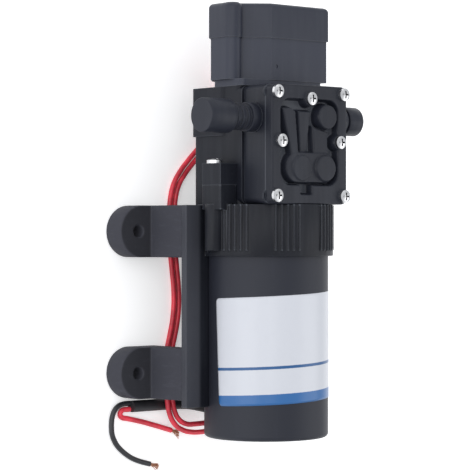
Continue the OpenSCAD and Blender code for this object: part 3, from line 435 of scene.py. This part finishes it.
# wear sets how strongly the outer edges pale, as wear and as a painted highlight.
def moulded_plastic(f, colour, rough=0.42, gloss=0.38, wear=0.55, reach=0.45 * MM):
    """Satin moulding with a fine spark texture, flow and draw marks, worn edges with a painted
    highlight on them, and dust.
    """
    flow = f.noise(55, 4, 0.6, (0.5, 1.2, 1.0))
    drawn = f.noise(420, 3, 0.6, (0.06, 1, 1)).sharpen(0.35, 0.7)
    grain = f.noise(5200, 2, 0.6)
    dust = f.noise(900, 5, 0.7).sharpen(0.58, 0.82)
    tone = f.mix(flow.sharpen(0.3, 0.75) * (0.06 + 0.14 * drawn), colour, FLOW_TONE)
    # Wear and painted highlight: the outer edges paled towards the worn tone, partly as wear and
    # partly for the glints along them.
    tone = f.mix(f.worn_and_highlit_edges(reach) * wear, tone, EDGE_WEAR_AND_HIGHLIGHT_TONE)
    f.set(base_color=f.mix(dust * 0.06, tone, DUST_TONE),
          roughness=rough + 0.10 * flow + 0.10 * dust - 0.06 * drawn,
          specular_ior_level=gloss)
    return f.bump(grain + 0.15 * flow, 0.05 * MM, 0.35)


def motor_paint(colour):
    """Satin paint with a slight orange peel and a few faint rubs along the can."""
    f = Finish("motor_paint")
    peel = f.noise(900, 2, 0.5)
    rub = f.noise(120, 5, 0.65, (0.25, 2.5, 2.5)).sharpen(0.55, 0.8)
    tone = f.mix(rub * 0.45, rgba(colour), rgba(colour, 1.7))
    f.set(base_color=tone, roughness=0.48 + 0.10 * rub + 0.05 * peel, specular_ior_level=0.30)
    return f.bump(peel, 0.04 * MM, 0.25)


def foot_rubber(colour):
    """Matt rubber with a fine grain, scuffs across the block, painted shade on the flanges' tops
    and pale dust.
    """
    f = Finish("foot_rubber")
    grain = f.noise(3800, 3, 0.7)
    scuff = f.noise(260, 5, 0.7, (2.2, 1.0, 0.5)).sharpen(0.52, 0.78)
    dust = f.noise(1500, 4, 0.7).sharpen(0.6, 0.85)
    tone = f.mix(scuff * 0.5, rgba(colour), rgba(colour, 1.8))
    # Painted shade: the up-facing tops of the flanges, below the blocks' height, darkened towards a
    # quarter of the rubber's tone.
    facing = add_node(f.tree, "ShaderNodeNewGeometry", output="Normal").part("Z").sharpen(0.6, 0.95)
    flange_shade = facing * (1 - f.place.part("Z").sharpen(*FLANGE_TOP))
    tone = f.mix(flange_shade * 0.6, tone, rgba(colour, 0.25))
    f.set(base_color=f.mix(dust * 0.12, tone, FOOT_DUST_TONE),
          roughness=0.68 + 0.12 * grain, specular_ior_level=0.35)
    return f.bump(grain, 0.06 * MM, 0.5)


def seal_rubber():
    """Soft black rubber with a faint bloom."""
    f = Finish("seal_rubber")
    bloom = f.noise(400, 4, 0.6)
    f.set(base_color=f.mix(bloom, (0.012, 0.012, 0.013, 1), (0.03, 0.03, 0.032, 1)),
          roughness=0.6 + 0.15 * bloom)
    return f.bump(f.noise(3000), 0.04 * MM)


def bright_zinc():
    """Plated screws: bright, with fine turning marks, a little dulling and painted shade in the
    drive recess.
    """
    f = Finish("bright_zinc")
    marks = f.noise(2500, 3, 0.6, (1, 1, 0.2))
    dull = f.noise(500, 4, 0.6)
    # Painted shade: the drive recess darkened where the light reaches little into it.
    recess = 1 - f.openness(0.9 * MM).sharpen(0.45, 0.80)
    plating = f.mix(dull, (0.62, 0.62, 0.64, 1), (0.82, 0.82, 0.83, 1))
    f.set(base_color=f.mix(recess, plating, DRIVE_SHADE_TONE), metallic=1.0,
          roughness=0.20 + 0.16 * dull + 0.2 * recess)
    return f.bump(marks, 0.02 * MM, 0.3)


def plain_metal(name, dark, light, rough):
    """Bare metal with fine marks along its length, between a dark and a light tone."""
    f = Finish(name)
    tone = f.noise(300, 4, 0.6)
    f.set(base_color=f.mix(tone, dark, light), metallic=1.0, roughness=rough + 0.15 * tone)
    return f.bump(f.noise(2400, 2, 0.5, (0.2, 1, 1)), 0.02 * MM, 0.3)


def plain_moulding(name, dark, light):
    """A small inner moulding, between a dark and a light tone."""
    f = Finish(name)
    tone = f.noise(90, 3, 0.6)
    f.set(base_color=f.mix(tone, dark, light), roughness=0.45 + 0.1 * tone)
    return f.bump(f.noise(4000), 0.03 * MM, 0.25)


def insulation(name, colour, rough=0.32):
    """Soft plastic insulation, a little darker where it has been handled."""
    f = Finish(name)
    tone = f.noise(180, 4, 0.6)
    f.set(base_color=f.mix(tone.sharpen(0.35, 0.7), rgba(colour, 0.72), rgba(colour, 1.12)),
          roughness=rough + 0.15 * tone, coat_weight=0.15 * tone)
    return f.bump(f.noise(1600, 2), 0.03 * MM, 0.3)


def label_paper(white, blue):
    """White label with a broad blue band along its lower edge and a thin blue line above it."""
    f = Finish("label_paper")
    up = add_node(f.tree, "ShaderNodeUVMap", {"uv_map": "label"}).part("Y")
    fibre = f.noise(2600, 4, 0.6)
    wear = f.noise(240, 5, 0.7).sharpen(0.5, 0.85)
    wobble = f.noise(1500, 2)
    edge = up + 0.004 * wobble
    band = 1 - edge.sharpen(*BAND_EDGE)
    line = edge.sharpen(*LINE_LOW) * (1 - edge.sharpen(*LINE_HIGH))
    paper = f.mix(wear * 0.35, rgba(white), rgba(white, 0.90))
    banded = f.mix(band, paper, rgba(blue))
    f.set(base_color=f.mix(line, banded, rgba(blue, 0.72)),
          roughness=0.30 + 0.15 * wear, specular_ior_level=0.5)
    return f.bump(fibre, 0.02 * MM, 0.2)


def add_piece(name, data, finish):
    """Puts a new mesh or curve into the scene as a piece of the pump."""
    piece = bpy.data.objects.new(name, data)
    bpy.context.scene.collection.objects.link(piece)
    data.materials.append(finish.material)
    return piece


def round_curve(name, diameter, resolution):
    """An empty curve with a round section and closed ends."""
    curve = bpy.data.curves.new(name, "CURVE")
    curve.dimensions = "3D"
    curve.bevel_depth = diameter / 2
    curve.bevel_resolution = resolution
    curve.use_fill_caps = True
    return curve


def metres(route):
    """Points given in millimetres, as vectors in metres."""
    return [Vector(p) * MM for p in route]


def wire_curve(name, points, diameter, finish):
    """A smooth round wire through the points of its route."""
    curve = round_curve(name, diameter, 5)
    curve.resolution_u = 8
    spline = curve.splines.new("BEZIER")
    spline.bezier_points.add(len(points) - 1)
    for bezier, point in zip(spline.bezier_points, points):
        bezier.co = point
        bezier.handle_left_type = "AUTO"
        bezier.handle_right_type = "AUTO"
    return add_piece(name, curve, finish)


def beside(route):
    """The outer wire's points, next to the inner one and turning to its near side."""
    near = Vector((0, -1, 0))
    points = []
    for i in range(OUTER_SHARED):
        run = route[i + 1] - route[max(i - 1, 0)]
        across = near if i < 2 else Vector((run.y, -run.x, 0)).normalized()
        side = near.lerp(across, min(1, i / SIDE_TURN)).normalized()
        points.append(route[i] + side * WIRE_PITCH * MM)
    return points


def route_length(points):
    """Length of the straight runs from point to point."""
    return sum((b - a).length for a, b in zip(points, points[1:]))


def lay_wire(node, points, diameter, finish):
    """Makes a free wire and hides its plain solid."""
    piece = wire_curve(node + "_wire", points, diameter, finish)
    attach(piece, "pump")
    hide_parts(node)
    round(route_length(points), 4)
    return piece


def rounded(u, v, width, length, radius):
    """A place on a flat sheet, drawn in where it lies past the sheet's rounded corners."""
    past = Vector((u - min(max(u, radius), width - radius),
                   v - min(max(v, radius), length - radius)))
    if past.x and past.y and past.length > radius:
        pull = past * (1 - radius / past.length)
        return u - pull.x, v - pull.y
    return u, v


def label_mesh(tilt):
    """The label's own shape: a thin wrap round the can, laid slightly askew."""
    low, high = (c / MM for c in CAN_RADII)
    columns, rows = LABEL_CELLS
    width = high * math.radians(LABEL_TURNS[0] - LABEL_TURNS[1])
    length = LABEL_SPAN[1] - LABEL_SPAN[0]
    bm = bmesh.new()
    uv = bm.loops.layers.uv.new("label")
    rings = []
    for layer in (high, low):
        grid = []
        for i in range(columns + 1):
            line = []
            for j in range(rows + 1):
                u, v = rounded(width * i / columns, length * j / rows, width, length,
                               LABEL_CORNER)
                round_can = u * math.cos(tilt) - v * math.sin(tilt)
                turn = math.radians(LABEL_TURNS[0]) - round_can / high
                along = LABEL_SPAN[0] + v * math.cos(tilt) + u * math.sin(tilt)
                place = Vector((AXIS_X - along, -layer * math.sin(turn),
                                AXIS_Z + layer * math.cos(turn)))
                line.append(bm.verts.new(place * MM))
            grid.append(line)
        rings.append(grid)
    outer, inner = rings

    def face(corners, places):
        made = bm.faces.new(corners)
        made.smooth = True
        for loop, place in zip(made.loops, places):
            loop[uv].uv = place

    for i in range(columns):
        for j in range(rows):
            places = [(i / columns, j / rows), ((i + 1) / columns, j / rows),
                      ((i + 1) / columns, (j + 1) / rows), (i / columns, (j + 1) / rows)]
            face([outer[i][j], outer[i + 1][j], outer[i + 1][j + 1], outer[i][j + 1]], places)
            face([inner[i][j], inner[i][j + 1], inner[i + 1][j + 1], inner[i + 1][j]], places)
    for j, side in ((0, 1), (rows, -1)):
        for i in range(columns):
            corners = [outer[i][j], inner[i][j], inner[i + 1][j], outer[i + 1][j]]
            face(corners[::side], [(i / columns, j / rows)] * 4)
    for i, side in ((0, -1), (columns, 1)):
        for j in range(rows):
            corners = [outer[i][j], inner[i][j], inner[i][j + 1], outer[i][j + 1]]
            face(corners[::side], [(i / columns, j / rows)] * 4)
    bmesh.ops.recalc_face_normals(bm, faces=bm.faces)
    mesh = bpy.data.meshes.new("label")
    bm.to_mesh(mesh)
    bm.free()
    return mesh


def soften_edges(node, width):
    """Rounds a moulding's edges a little, over the welded triangles of its solid."""
    solid = frame["nodes"][node]
    weld = solid.modifiers.new("weld", "WELD")
    weld.merge_threshold = WELD
    flat = solid.modifiers.new("flat faces", "DECIMATE")
    flat.decimate_type = "DISSOLVE"
    flat.angle_limit = FLAT
    bevel = solid.modifiers.new("edge", "BEVEL")
    bevel.width = width
    bevel.segments = 2
    bevel.limit_method = "ANGLE"
    bevel.angle_limit = TO_ROUND
    bevel.use_clamp_overlap = False
    bevel.harden_normals = True


def edge_loops(edges):
    """The chosen edges, sorted into connected loops in a fixed order."""
    left = set(edges)
    loops = []
    for first in edges:
        if first not in left:
            continue
        left.remove(first)
        loop = [first]
        for edge in loop:
            for near in [e for v in edge.verts for e in v.link_edges]:
                if near in left:
                    left.remove(near)
                    loop.append(near)
        loops.append(loop)
    return loops


def loop_width(loop):
    """How far a loop of edges reaches across the pump."""
    places = [v.co.y for e in loop for v in e.verts]
    return max(places) - min(places)


def ordered(loop):
    """The corners of a closed loop of edges, one after the other."""
    first = loop[0].verts[0]
    corners, edge = [first], loop[0]
    chosen = set(loop)
    while True:
        corner = edge.other_vert(corners[-1])
        if corner is first:
            return corners
        corners.append(corner)
        edge = next(e for e in corner.link_edges if e in chosen and e is not edge)


def inset(places, depth):
    """A closed outline in y and z, moved inwards by depth."""
    count = len(places)
    area = sum(places[i - 1].cross(places[i]) for i in range(count))
    sign = 1 if area > 0 else -1
    moved = []
    for i, place in enumerate(places):
        before = (place - places[i - 1]).normalized()
        after = (places[(i + 1) % count] - place).normalized()
        normals = [Vector((-d.y, d.x)) * sign for d in (before, after)]
        middle = (normals[0] + normals[1]).normalized()
        moved.append(place + middle * depth / max(MITRE, middle.dot(normals[0])))
    return moved


def rounded_lid(node, radius, steps=6):
    """The lid with its end edge rounded as a moulding's is."""
    bm = bmesh.new()
    bm.from_mesh(frame["nodes"][node].data)
    bmesh.ops.remove_doubles(bm, verts=bm.verts, dist=WELD)
    end = min(v.co.x for v in bm.verts)
    at_end = [f for f in bm.faces if all(abs(v.co.x - end) < ON_PLANE for v in f.verts)]
    rim = [e for e in bm.edges if all(abs(v.co.x - end) < ON_PLANE for v in e.verts)
           and len(e.link_faces) == 2 and e.calc_face_angle() > LID_RIM]
    loops = edge_loops(rim)
    outside = max(loops, key=loop_width)
    holes = [e for loop in loops if loop is not outside for e in loop]
    bmesh.ops.delete(bm, geom=at_end, context="FACES_ONLY")
    bmesh.ops.delete(bm, geom=[e for e in bm.edges if not e.link_faces], context="EDGES")
    last = ordered(outside)
    flat = [Vector((v.co.y, v.co.z)) for v in last]
    for corner in last:
        corner.co.x = end + radius
    for step in range(1, steps + 1):
        turn = math.pi / 2 * step / steps
        ring = [bm.verts.new((end + radius * (1 - math.sin(turn)), p.x, p.y))
                for p in inset(flat, radius * (1 - math.cos(turn)))]
        for i in range(len(ring)):
            bm.faces.new((last[i - 1], last[i], ring[i], ring[i - 1]))
        last = ring
    cap = [bm.edges.get((last[i - 1], last[i])) for i in range(len(last))]
    bmesh.ops.triangle_fill(bm, use_beauty=True, use_dissolve=False, edges=cap + holes)
    bmesh.ops.recalc_face_normals(bm, faces=bm.faces)
    for face in bm.faces:
        face.smooth = True
    for edge in bm.edges:
        edge.smooth = len(edge.link_faces) == 2 and edge.calc_face_angle() < SHARP
    mesh = bpy.data.meshes.new(node + "_rounded")
    bm.to_mesh(mesh)
    bm.free()
    return mesh


def strand_bundle(name, tail, diameter, finish, seed):
    """Bare strands that spread a little from the cut end of their insulation."""
    rng = random.Random(seed)
    curve = round_curve(name, diameter, 2)
    start, middle, end = metres(tail)
    along = (end - start).normalized()
    across = along.cross(Vector((0, 0, 1))).normalized()
    up = across.cross(along)
    for k in range(STRANDS):
        reach = STRAND_REACH * math.sqrt((k + 0.5) / STRANDS)
        spline = curve.splines.new("POLY")
        spline.points.add(STRAND_RUNS)
        flare = STRAND_FLARE[0] + STRAND_FLARE[1] * rng.random()
        stop = 1 - STRAND_TRIM * rng.random()
        for n, point in enumerate(spline.points):
            share = stop * n / STRAND_RUNS
            if share < 0.5:
                base = start.lerp(middle, 2 * share)
            else:
                base = middle.lerp(end, 2 * share - 1)
            turn = STRAND_TURN * k + STRAND_TWIST * share
            spread = reach * (1 + (flare - 1) * share * share)
            spot = base + across * (spread * math.cos(turn))
            spot += up * (STRAND_FLATNESS * spread * math.sin(turn))
            point.co = (*spot, 1)
    return add_piece(name, curve, finish)


class PUMP_OT_wires(bpy.types.Operator):
    """Lays the wires, the sleeve and the bare strands."""

    bl_idname = "pump.wires"
    bl_label = "Lay wires"

    def execute(self, context):
        finishes = context.scene.pump_finishes
        sizes = context.scene.pump_sizes
        red = insulation("red_insulation", finishes.red_wire)
        black = insulation("black_insulation", BLACK_INSULATION, 0.38)
        sleeve = insulation("sleeve_rubber", SLEEVE_RUBBER, 0.5)
        copper = plain_metal("bare_copper", rgba(finishes.copper, 0.7),
                             rgba(finishes.copper, 1.25), 0.3)
        inner = metres(SWITCH_ROUTE)
        outer = beside(inner) + metres(OUTER_TAIL)
        lay_wire("switch_wire_inner", inner, sizes.wire_d, red)
        lay_wire("switch_wire_outer", outer, sizes.wire_d, red)
        lay_wire("lead_sleeve", metres(SLEEVE_ROUTE), sizes.sleeve_d, sleeve)
        for colour, route, tail, finish, slot, seed in (
                ("red", RED_ROUTE, RED_TAIL, red, "red_pvc", 3),
                ("black", BLACK_ROUTE, BLACK_TAIL, black, "black_pvc", 8)):
            strands = strand_bundle(colour + "_strand_bundle", tail, sizes.strand_d, copper,
                                    seed)
            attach(strands, "pump")
            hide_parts(colour + "_strands")
            lay_wire(colour + "_lead", metres(route), sizes.wire_d, finish)
        return {"FINISHED"}


class PUMP_OT_label(bpy.types.Operator):
    """Wraps the label round the motor."""

    bl_idname = "pump.label"
    bl_label = "Wrap label"

    def execute(self, context):
        finishes = context.scene.pump_finishes
        tilt = context.scene.pump_sizes.label_tilt
        paper = label_paper(finishes.label_white, finishes.label_blue)
        piece = add_piece("wrapped_label", label_mesh(tilt), paper)
        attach(piece, "pump")
        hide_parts("rating_label")
        return {"FINISHED"}


class PUMP_OT_finishes(bpy.types.Operator):
    """Gives every solid its finish and softens the moulded edges."""

    bl_idname = "pump.finishes"
    bl_label = "Apply finishes"

    def execute(self, context):
        finishes = context.scene.pump_finishes
        edge = context.scene.pump_sizes.edge
        plastic = finishes.plastic
        # Painted shade and light: the one black plastic darkened on the head and the ports and
        # paled on the switch's box, for how light falls on each piece.
        apply_finish(moulded_plastic(Finish("head_moulding"), rgba(plastic, 0.5), 0.46, 0.22),
                     "drive_housing")
        apply_finish(moulded_plastic(Finish("port_moulding"), rgba(plastic, 0.85), 0.44, 0.28),
                     *PORT_NODES)
        apply_finish(moulded_plastic(Finish("switch_moulding"), rgba(plastic, 1.6)), "switch_body")
        apply_finish(bracket_plastic(plastic), "motor_bracket")
        apply_finish(motor_paint(finishes.paint), "motor_can")
        apply_finish(foot_rubber(finishes.rubber), *FOOT_NODES)
        apply_finish(seal_rubber(), *SEAL_NODES)
        apply_finish(bright_zinc(), *SCREW_NODES)
        for name, dark, light, rough, nodes in METALS:
            apply_finish(plain_metal(name, dark, light, rough), *nodes)
        for name, dark, light, nodes in MOULDINGS:
            apply_finish(plain_moulding(name, dark, light), *nodes)
        for node in SOFT_EDGE_NODES:
            soften_edges(node, edge)
        for node in FOOT_NODES:
            soften_edges(node, FOOT_EDGE * edge)
        return {"FINISHED"}


class PUMP_OT_lid(bpy.types.Operator):
    """Rounds the end of the switch's lid."""

    bl_idname = "pump.lid"
    bl_label = "Round lid"

    def execute(self, context):
        # Painted light: the lid gets the black plastic paled by 1.3, for how light falls on it.
        colour = rgba(context.scene.pump_finishes.plastic, 1.3)
        finish = moulded_plastic(Finish("lid_moulding"), colour)
        mesh = rounded_lid("switch_lid", context.scene.pump_sizes.lid_edge)
        piece = add_piece("rounded_lid", mesh, finish)
        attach(piece, "pump")
        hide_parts("switch_lid")
        return {"FINISHED"}


def box_distance(s, a, low, high, corner):
    """Distance outside a rounded rectangle, negative inside it."""
    ds = abs(s - (low[0] + high[0]) / 2) - (high[0] - low[0]) / 2 + corner
    da = abs(a - (low[1] + high[1]) / 2) - (high[1] - low[1]) / 2 + corner
    outside = np.hypot(np.maximum(ds, 0), np.maximum(da, 0))
    return outside + np.minimum(np.maximum(ds, da), 0) - corner


def outline_distance(s, a, corners):
    """Distance outside a convex outline, given clockwise or not, negative inside it."""
    middle = np.mean(corners, axis=0)
    reach = np.full(s.shape, -np.inf)
    for one, two in zip(corners, corners[1:] + corners[:1]):
        normal = np.array((two[1] - one[1], one[0] - two[0])) / math.dist(one, two)
        if normal @ (middle - one) > 0:
            normal = -normal
        reach = np.maximum(reach, (s - one[0]) * normal[0] + (a - one[1]) * normal[1])
    return reach


def inside(distance, width=0.45):
    """1 inside an outline, 0 outside it, with a rounded step between."""
    share = np.clip(0.5 - distance / (2 * width), 0, 1)
    return share * share * (3 - 2 * share)


def cover_heights(s, a):
    """Height of the cover's moulded top at each place on it."""
    low, high = (COVER_SPAN[0], -COVER_HALF), (COVER_SPAN[1], COVER_HALF)
    hollow = np.maximum(inside(box_distance(s, a, *COVER_POCKET)),
                        inside(box_distance(s, a, *COVER_NOTCH)))
    top = COVER_TOP + (COVER_FLOOR - COVER_TOP) * hollow
    rises = [(box_distance(s, a, *COVER_BLOCK[:3]), COVER_BLOCK[3])]
    rises += [(np.hypot(s - p[0], a - p[1]) - r, h) for p, r, h in COVER_DISCS]
    pad, lift = COVER_PAD
    rises += [(np.hypot(s - p[0], a - p[1]) - pad, COVER_TOP + lift) for p in COVER_SCREWS]
    along = (s - COVER_LEG_START) / COVER_LEG_RUN
    for corners, (near, far) in COVER_LEGS:
        rises.append((outline_distance(s, a, corners), near + (far - near) * along))
    for distance, height in rises:
        top = np.maximum(top, COVER_FLOOR + (height - COVER_FLOOR) * inside(distance))
    lean = np.clip(box_distance(s, a, low, high, COVER_CORNER) + COVER_EDGE, 0, COVER_EDGE)
    return top - COVER_EDGE + np.sqrt(COVER_EDGE ** 2 - lean ** 2)


def moulded_cover(node):
    """The cover's body with a finely moulded top in place of the plain one."""
    middle = sum(COVER_SPAN) / 2
    half = (COVER_SPAN[1] - COVER_SPAN[0]) / 2
    columns = np.linspace(-half, half, round(2 * half / COVER_CELL) + 1)
    rows = np.linspace(-COVER_HALF, COVER_HALF, round(2 * COVER_HALF / COVER_CELL) + 1)
    s, a = np.meshgrid(columns, rows, indexing="ij")
    past = (np.maximum(abs(s) - half + COVER_CORNER, 0),
            np.maximum(abs(a) - COVER_HALF + COVER_CORNER, 0))
    pull = np.minimum(1, COVER_CORNER / np.maximum(np.hypot(*past), 1e-6))
    s -= np.sign(s) * past[0] * (1 - pull)
    a -= np.sign(a) * past[1] * (1 - pull)
    s += middle
    places = np.stack((AXIS_X - s, -a, AXIS_Z + cover_heights(s, a)), axis=2) * MM

    bm = bmesh.new()
    bm.from_mesh(frame["nodes"][node].data)
    bmesh.ops.remove_doubles(bm, verts=bm.verts, dist=WELD)
    cut = (AXIS_Z + COVER_FLOOR - COVER_OVERLAP) * MM
    made = bmesh.ops.bisect_plane(bm, geom=bm.verts[:] + bm.edges[:] + bm.faces[:],
                                  plane_co=(0, 0, cut), plane_no=(0, 0, 1), clear_outer=True)
    edges = [e for e in made["geom_cut"] if isinstance(e, bmesh.types.BMEdge)]
    bmesh.ops.triangle_fill(bm, use_beauty=True, use_dissolve=False, edges=edges)
    for edge in bm.edges:
        edge.smooth = len(edge.link_faces) == 2 and edge.calc_face_angle() < SHARP
    grid = [[bm.verts.new(place) for place in line] for line in places]
    across, along = len(grid) - 1, len(grid[0]) - 1
    for i in range(across):
        for j in range(along):
            bm.faces.new((grid[i][j], grid[i + 1][j], grid[i + 1][j + 1], grid[i][j + 1]))
    rim = [grid[i][0] for i in range(across)] + [grid[across][j] for j in range(along)]
    rim += [grid[i][along] for i in range(across, 0, -1)]
    rim += [grid[0][j] for j in range(along, 0, -1)]
    hub = Vector(((AXIS_X - middle) * MM, 0, cut - COVER_SKIRT * MM))
    foot = [bm.verts.new(hub + Vector((v.co.x - hub.x, v.co.y, 0)) * SKIRT_SPREAD) for v in rim]
    for k in range(len(rim)):
        bm.faces.new((rim[k], rim[k - 1], foot[k - 1], foot[k]))
    base = bm.faces.new(foot[::-1])
    for edge in base.edges:
        edge.smooth = False
    for face in bm.faces:
        face.smooth = True
    mesh = bpy.data.meshes.new(node + "_moulded")
    bm.to_mesh(mesh)
    bm.free()
    return mesh


class PUMP_OT_cover(bpy.types.Operator):
    """Gives the pump's cover its moulded top."""

    bl_idname = "pump.cover"
    bl_label = "Mould cover"

    def execute(self, context):
        # Painted shade: the cover gets the black plastic darkened to 0.70, for how light falls on
        # it.
        colour = rgba(context.scene.pump_finishes.plastic, 0.70)
        finish = moulded_plastic(Finish("cover_moulding"), colour, 0.44, 0.28)
        piece = add_piece("moulded_cover", moulded_cover("pump_cover"), finish)
        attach(piece, "pump")
        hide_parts("pump_cover")
        return {"FINISHED"}


def turned(name, profile, steps=72):
    """A ring turned about the pumping axis, from pairs of radius and height in millimetres."""
    mesh = bpy.data.meshes.new(name)
    bm = bmesh.new()
    rings = []
    for k in range(steps):
        turn = 2 * math.pi * k / steps
        rings.append([
            bm.verts.new((PUMP_AXIS_X * MM + r * MM * math.cos(turn), r * MM * math.sin(turn),
                          (AXIS_Z + h) * MM)) for r, h in profile])
    for k in range(steps):
        for n in range(len(profile)):
            bm.faces.new((rings[k - 1][n - 1], rings[k][n - 1], rings[k][n], rings[k - 1][n]))
    bmesh.ops.recalc_face_normals(bm, faces=bm.faces)
    for face in bm.faces:
        face.smooth = True
    for edge in bm.edges:
        edge.smooth = edge.calc_face_angle() < TURNED_SHARP
    bm.to_mesh(mesh)
    bm.free()
    return mesh


class PUMP_OT_diaphragm(bpy.types.Operator):
    """Splits the diaphragm into its held rim and the middle that moves with the rod."""

    bl_idname = "pump.diaphragm"
    bl_label = "Split diaphragm"

    def execute(self, context):
        finish = seal_rubber()
        for name, profile, body in (("diaphragm_rim", DIAPHRAGM_RIM, "pump"),
                                    ("diaphragm_middle", DIAPHRAGM_MIDDLE, "rod")):
            piece = add_piece(name, turned(name, profile), finish)
            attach(piece, body)
            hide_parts("diaphragm")
        return {"FINISHED"}


class PUMP_OT_spring(bpy.types.Operator):
    """Gives the plunger's spring its own steel-finished copy of the solid, in place of the plain
    one.
    """

    bl_idname = "pump.spring"
    bl_label = "Seat spring"

    def execute(self, context):
        finish = plain_metal("spring_steel", *STEEL_TONES, 0.3)
        low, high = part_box("plunger_spring")
        travel = next(j for j in frame["joints"] if j["name"] == "plunger_slide")["range_m"][1]
        mesh = frame["nodes"]["plunger_spring"].data.copy()
        mesh.materials.clear()
        piece = add_piece("seated_spring", mesh, finish)
        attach(piece, "pump")
        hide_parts("plunger_spring")
        1 - travel / (high[0] - low[0])
        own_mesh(piece)
        return {"FINISHED"}


class PUMP_OT_stage(bpy.types.Operator):
    """Puts up the camera, the lamps and a pale floor."""

    bl_idname = "pump.stage"
    bl_label = "Set stage"

    def execute(self, context):
        scene = context.scene
        stage = scene.pump_stage
        toward = Vector((0, -math.cos(stage.elevation), math.sin(stage.elevation)))
        right = Vector((0, math.sin(stage.elevation), math.cos(stage.elevation)))
        place = Vector(stage.look_at) + toward * stage.distance
        turn = Matrix((right, (-1, 0, 0), toward)).transposed()
        data = bpy.data.cameras.new("camera")
        data.sensor_width = SENSOR_WIDTH
        data.lens = stage.lens
        data.clip_start = 0.01
        data.clip_end = 20
        camera = bpy.data.objects.new("camera", data)
        camera.matrix_world = Matrix.Translation(place) @ turn.to_4x4()
        scene.collection.objects.link(camera)
        scene.camera = camera

        world = bpy.data.worlds.new("room")
        world.use_nodes = True
        ground = world.node_tree.nodes["Background"]
        ground.inputs["Color"].default_value = ROOM_COLOUR
        ground.inputs["Strength"].default_value = ROOM_STRENGTH
        scene.world = world
        for name, spot, size, power in LAMPS:
            lamp = bpy.data.lights.new(name, "AREA")
            lamp.energy = power
            lamp.size = size
            thing = bpy.data.objects.new(name, lamp)
            thing.location = spot
            aim = Vector(stage.look_at) - thing.location
            thing.rotation_euler = aim.to_track_quat("-Z", "Y").to_euler()
            scene.collection.objects.link(thing)

        floor = Finish("floor")
        speck = floor.noise(30, 2)
        seen = sum(add_node(floor.tree, "ShaderNodeLightPath", output=ray) for ray in SEEN_RAYS)
        floor.set(base_color=floor.mix(speck, (0.86, 0.86, 0.87, 1), (0.90, 0.90, 0.91, 1)),
                  emission_color=floor.mix(seen, (0, 0, 0, 1), (1, 1, 1, 1)),
                  emission_strength=FLOOR_GLOW, roughness=0.9)
        mesh = bpy.data.meshes.new("floor")
        bm = bmesh.new()
        bmesh.ops.create_grid(bm, x_segments=1, y_segments=1, size=FLOOR_HALF)
        bm.to_mesh(mesh)
        bm.free()
        mesh.materials.append(floor.material)
        ground_piece = bpy.data.objects.new("floor", mesh)
        scene.collection.objects.link(ground_piece)
        scene.view_settings.view_transform = "Standard"
        return {"FINISHED"}


class PUMP_PT_panel(bpy.types.Panel):
    """Buttons for the pump's pieces and stage."""

    bl_idname = "PUMP_PT_panel"
    bl_label = "Pump"
    bl_space_type = "VIEW_3D"
    bl_region_type = "UI"
    bl_category = "Pump"

    def draw(self, context):
        for operator in OPERATORS:
            self.layout.operator(operator.bl_idname)
        for group in ("pump_finishes", "pump_sizes", "pump_stage"):
            settings = getattr(context.scene, group)
            box = self.layout.box()
            for name in settings.__annotations__:
                box.prop(settings, name)


OPERATORS = (PUMP_OT_stage, PUMP_OT_wires, PUMP_OT_label, PUMP_OT_finishes, PUMP_OT_cover,
             PUMP_OT_lid, PUMP_OT_spring, PUMP_OT_diaphragm)
GROUPS = (("pump_finishes", PumpFinishes), ("pump_sizes", PumpSizes), ("pump_stage", PumpStage))


def register():
    for name, group in GROUPS:
        bpy.utils.register_class(group)
        setattr(bpy.types.Scene, name, bpy.props.PointerProperty(type=group))
    for kind in (*OPERATORS, PUMP_PT_panel):
        bpy.utils.register_class(kind)


def unregister():
    for kind in (PUMP_PT_panel, *reversed(OPERATORS)):
        bpy.utils.unregister_class(kind)
    for name, group in reversed(GROUPS):
        delattr(bpy.types.Scene, name)
        bpy.utils.unregister_class(group)


def main():
    register()
    bpy.ops.pump.stage()
    bpy.ops.pump.wires()
    bpy.ops.pump.label()
    bpy.ops.pump.finishes()
    bpy.ops.pump.cover()
    bpy.ops.pump.lid()
    bpy.ops.pump.spring()
    bpy.ops.pump.diaphragm()


if __name__ == "__main__":
    main()
